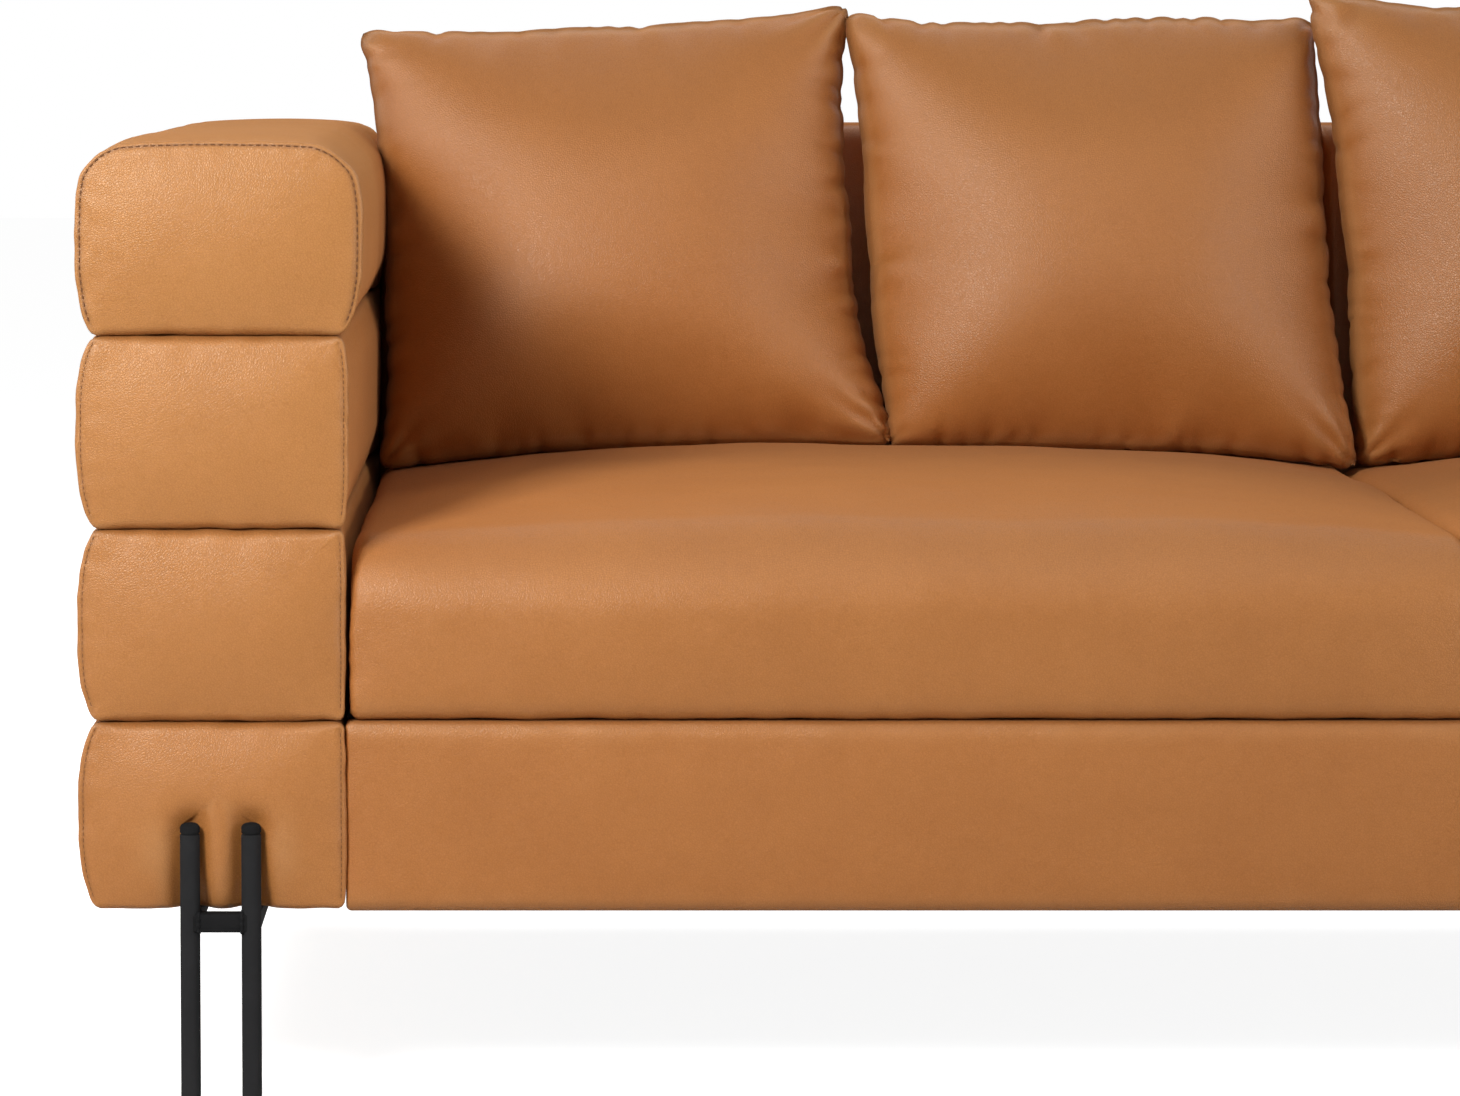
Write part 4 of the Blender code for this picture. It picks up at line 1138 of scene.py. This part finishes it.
def make_leg(side, end):
    """Two round steel rods with plugged, domed tops, a welded crossbar and a plastic glide under each."""
    node = f"{side}_{end}_leg"
    low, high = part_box(node)
    parts = []
    centres = []
    y = (low.y + high.y) / 2
    r = ROD_RADIUS
    g = ROD_RADIUS + 0.001
    for place in ("inner", "outer"):
        glide_low, glide_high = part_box(f"{node}_{place}_glide")
        x = (glide_low.x + glide_high.x) / 2
        centres.append(x)
        dome = [(0.0004, 0.0), (r * 0.35, 0.00015), (r * 0.62, 0.0006), (r * 0.82, 0.0014), (r * 0.95, 0.0026),
                (r, 0.0042), (r, 0.0072), (r * 0.90, 0.0078), (r * 0.90, 0.0086), (r, 0.0092)]
        foot = [(r, 0.0012), (r - 0.0008, 0.0002), (0.0034, 0.0002), (0.0034, 0.012), (0.0004, 0.012)]
        profile = [(radius, high.z - depth) for radius, depth in dome] + [(r, 0.155), (r, 0.08)]
        profile += [(radius, low.z + height) for radius, height in foot]
        parts.append(lathe(profile, (x, y), 40))
        glide = [(0.0004, glide_high.z), (0.0028, glide_high.z - 0.0004), (0.003, glide_high.z - 0.001),
                 (0.003, 0.0050), (g - 0.0006, 0.0050), (g, 0.0044), (g, 0.0014), (g - 0.0012, 0.0),
                 (0.0004, 0.0)]
        puck = join(f"{node}_{place}_foot", [lathe(glide, (x, y), 36)], PLASTIC)
        carry(puck, ROOT, "black_plastic", f"{node}_{place}_glide")
    bearer_low, bearer_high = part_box(f"{side}_inner_bearer")
    left, right = min(centres), max(centres)
    middle = (bearer_low.z + bearer_high.z) / 2
    parts.append(bar((left, y - 0.007, bearer_low.z), (right, y + 0.007, bearer_high.z)))
    parts.append(bead((left, y, middle), ROD_RADIUS - 0.0008, 0.0072, 0.0))
    parts.append(bead((right, y, middle), -(ROD_RADIUS - 0.0008), 0.0072, 1.0))
    make_steel_piece(node, parts)


def make_steel_piece(node, parts):
    piece = join(node + "_steel", parts, STEEL)
    mark_wear(piece, 250.0)
    carry(piece, ROOT, "black_steel", node)


def make_cloth(node):
    """A stretched cloth: a thin sheet drawn into shallow ripples by its tacks."""
    low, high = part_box(node)
    columns, rows, sag = 150, 66, 0.0008
    x, y = np.meshgrid(np.linspace(low.x, high.x, columns + 1), np.linspace(low.y, high.y, rows + 1),
                       indexing="ij")
    border = np.minimum(np.minimum(x - low.x, high.x - x), np.minimum(y - low.y, high.y - y))
    tacks = 0.5 + 0.5 * np.cos((x + y) / 0.035 * 2 * math.pi)
    dip = sag * (0.6 * tacks * bell(border, 0.03) + 0.4 * np.clip(border / 0.2, 0, 1))
    top = np.stack([x, y, high.z - dip], -1).reshape(-1, 3)
    under = np.stack([x, y, np.full_like(x, low.z + 0.0002)], -1).reshape(-1, 3)
    count = len(top)
    faces = []
    for i in range(columns):
        for j in range(rows):
            a, b = i * (rows + 1) + j, (i + 1) * (rows + 1) + j
            faces.append((a, b, b + 1, a + 1))
            faces.append((count + a, count + a + 1, count + b + 1, count + b))
    edges = [(i * (rows + 1) + j, (i + 1) * (rows + 1) + j) for i in range(columns) for j in (0, rows)]
    edges += [(i * (rows + 1) + j, i * (rows + 1) + j + 1) for j in range(rows) for i in (0, columns)]
    faces.extend((a, b, count + b, count + a) for a, b in edges)
    obj = new_piece(node + "_sheet", np.concatenate([top, under]), faces, CLOTH)
    carry(obj, ROOT, "black_cloth", node)


def make_sofa():
    rolls = []
    for side in SIDES:
        rolls.extend(make_roll(side, number) for number in range(1, 5))
        for end in ("front", "rear"):
            make_leg(side, end)
        for node in (f"{side}_inner_bearer", f"{side}_outer_bearer"):
            make_steel_piece(node, [bar(*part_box(node))])
    seats = [tree_of(make_seat(side)) for side in SIDES]
    for side in SIDES:
        make_pad(side)
    make_panel("front_apron", -1, False, 0.010, 60, 0.003)
    make_panel("outside_back", 1, True, 0.006, 130, 0.0)
    make_cloth("deck_cloth")
    make_cloth("dust_cover")
    neighbours = [tree_of(roll) for roll in rolls]
    for number in range(1, 5):
        neighbours.append(tree_of(make_pillow(number, seats, neighbours)))
    plain = {"plywood": WOOD, "zinc_steel": ZINC, "foam": FOAM, "webbing": WEBBING, "black_cloth": CLOTH,
             "black_steel": STEEL, "black_plastic": PLASTIC, "tan_leather": LEATHER}
    for node in frame["nodes"].values():
        for place in node.material_slots:
            name = place.material.name.split(".")[0] if place.material else ""
            place.material = plain.get(name, WOOD)


def make_floor():
    """A pale floor that looks white but still takes the sofa's shadow."""
    half = 16.0
    points = [(-half, -half, 0.0), (half, -half, 0.0), (half, half, 0.0), (-half, half, 0.0)]
    n = material("studio_floor")
    n.tree.nodes.remove(n.tree.nodes["Principled BSDF"])
    paint = n.add("BsdfDiffuse", Color=(0.86, 0.86, 0.86))
    glow = n.add("Emission", Color=(1.0, 1.0, 1.0), Strength=n.sum(n.seen("Is Camera Ray"), 0.90, "MULTIPLY"))
    both = n.add("AddShader")
    n.feed(both.inputs[0], paint.outputs[0])
    n.feed(both.inputs[1], glow.outputs[0])
    n.feed(n.tree.nodes["Material Output"].inputs["Surface"], both.outputs[0])
    new_piece("floor", points, [(0, 1, 2, 3)], n.owner)


AMBIENT = 0.095
LAMPS = (
    # name, place, aimed at, width, height, power, lights the surface, shows in its gloss
    ("key", (-1.9, -2.1, 1.75), (-0.45, 0.0, 0.5), 0.70, 0.70, 55.0, True, True),
    ("rear_top", (-0.8, 2.1, 2.7), (-0.3, -0.2, 0.5), 2.4, 1.0, 56.0, True, False),
    ("fill", (3.2, -1.1, 1.25), (-0.4, 0.0, 0.5), 2.2, 2.0, 63.0, True, True),
    ("side_card", (-3.0, -0.8, 1.6), (0.0, 0.0, 0.5), 2.2, 1.6, 46.0, False, True),
    ("front_left_card", (-2.4, -2.7, 1.5), (-0.7, 0.0, 0.6), 1.2, 1.2, 16.0, False, True),
    ("top_card", (-0.4, -0.75, 1.5), (-0.4, -0.40, 0.4), 1.8, 0.4, 5.0, False, True),
    ("right_card", (1.9, -1.7, 0.6), (-0.5, 0.0, 0.55), 1.4, 1.0, 12.0, False, True),
)


def make_light():
    """A white world that lights the sofa only faintly, and soft studio lamps."""
    scene.world = bpy.data.worlds.new("studio")
    n = Nodes(scene.world)
    seen = n.seen("Is Camera Ray", "Is Glossy Ray", "Is Transmission Ray")
    back = n.tree.nodes["Background"]
    n.feed(back.inputs["Color"], (1.0, 1.0, 1.0))
    n.feed(back.inputs["Strength"], n.span(seen, 0.0, 1.0, AMBIENT, 1.0))
    for name, place, target, width, height, power, lit, glossy in LAMPS:
        lamp = bpy.data.lights.new(name, "AREA")
        lamp.shape = "RECTANGLE"
        lamp.size = width
        lamp.size_y = height
        lamp.energy = power
        obj = bpy.data.objects.new(name, lamp)
        obj.location = place
        obj.rotation_euler = (Vector(target) - Vector(place)).to_track_quat("-Z", "Y").to_euler()
        obj.visible_camera = False
        obj.visible_diffuse = lit
        obj.visible_glossy = glossy
        scene.collection.objects.link(obj)


def make_camera():
    data = bpy.data.cameras.new("camera")
    data.sensor_width = SENSOR
    data.lens = SENSOR * FOCAL / PHOTO_WIDTH
    data.shift_x = (PHOTO_WIDTH / 2 - HORIZON[0]) / PHOTO_WIDTH
    data.shift_y = (HORIZON[1] + FOCAL * math.tan(CAMERA_PITCH) - PHOTO_HEIGHT / 2) / PHOTO_WIDTH
    camera = bpy.data.objects.new("camera", data)
    camera.location = CAMERA_PLACE
    camera.rotation_euler = (math.pi / 2 - CAMERA_PITCH, 0.0, 0.0)
    scene.collection.objects.link(camera)
    scene.camera = camera


make_sofa()
make_floor()
make_light()
make_camera()
scene.view_settings.view_transform = "Standard"
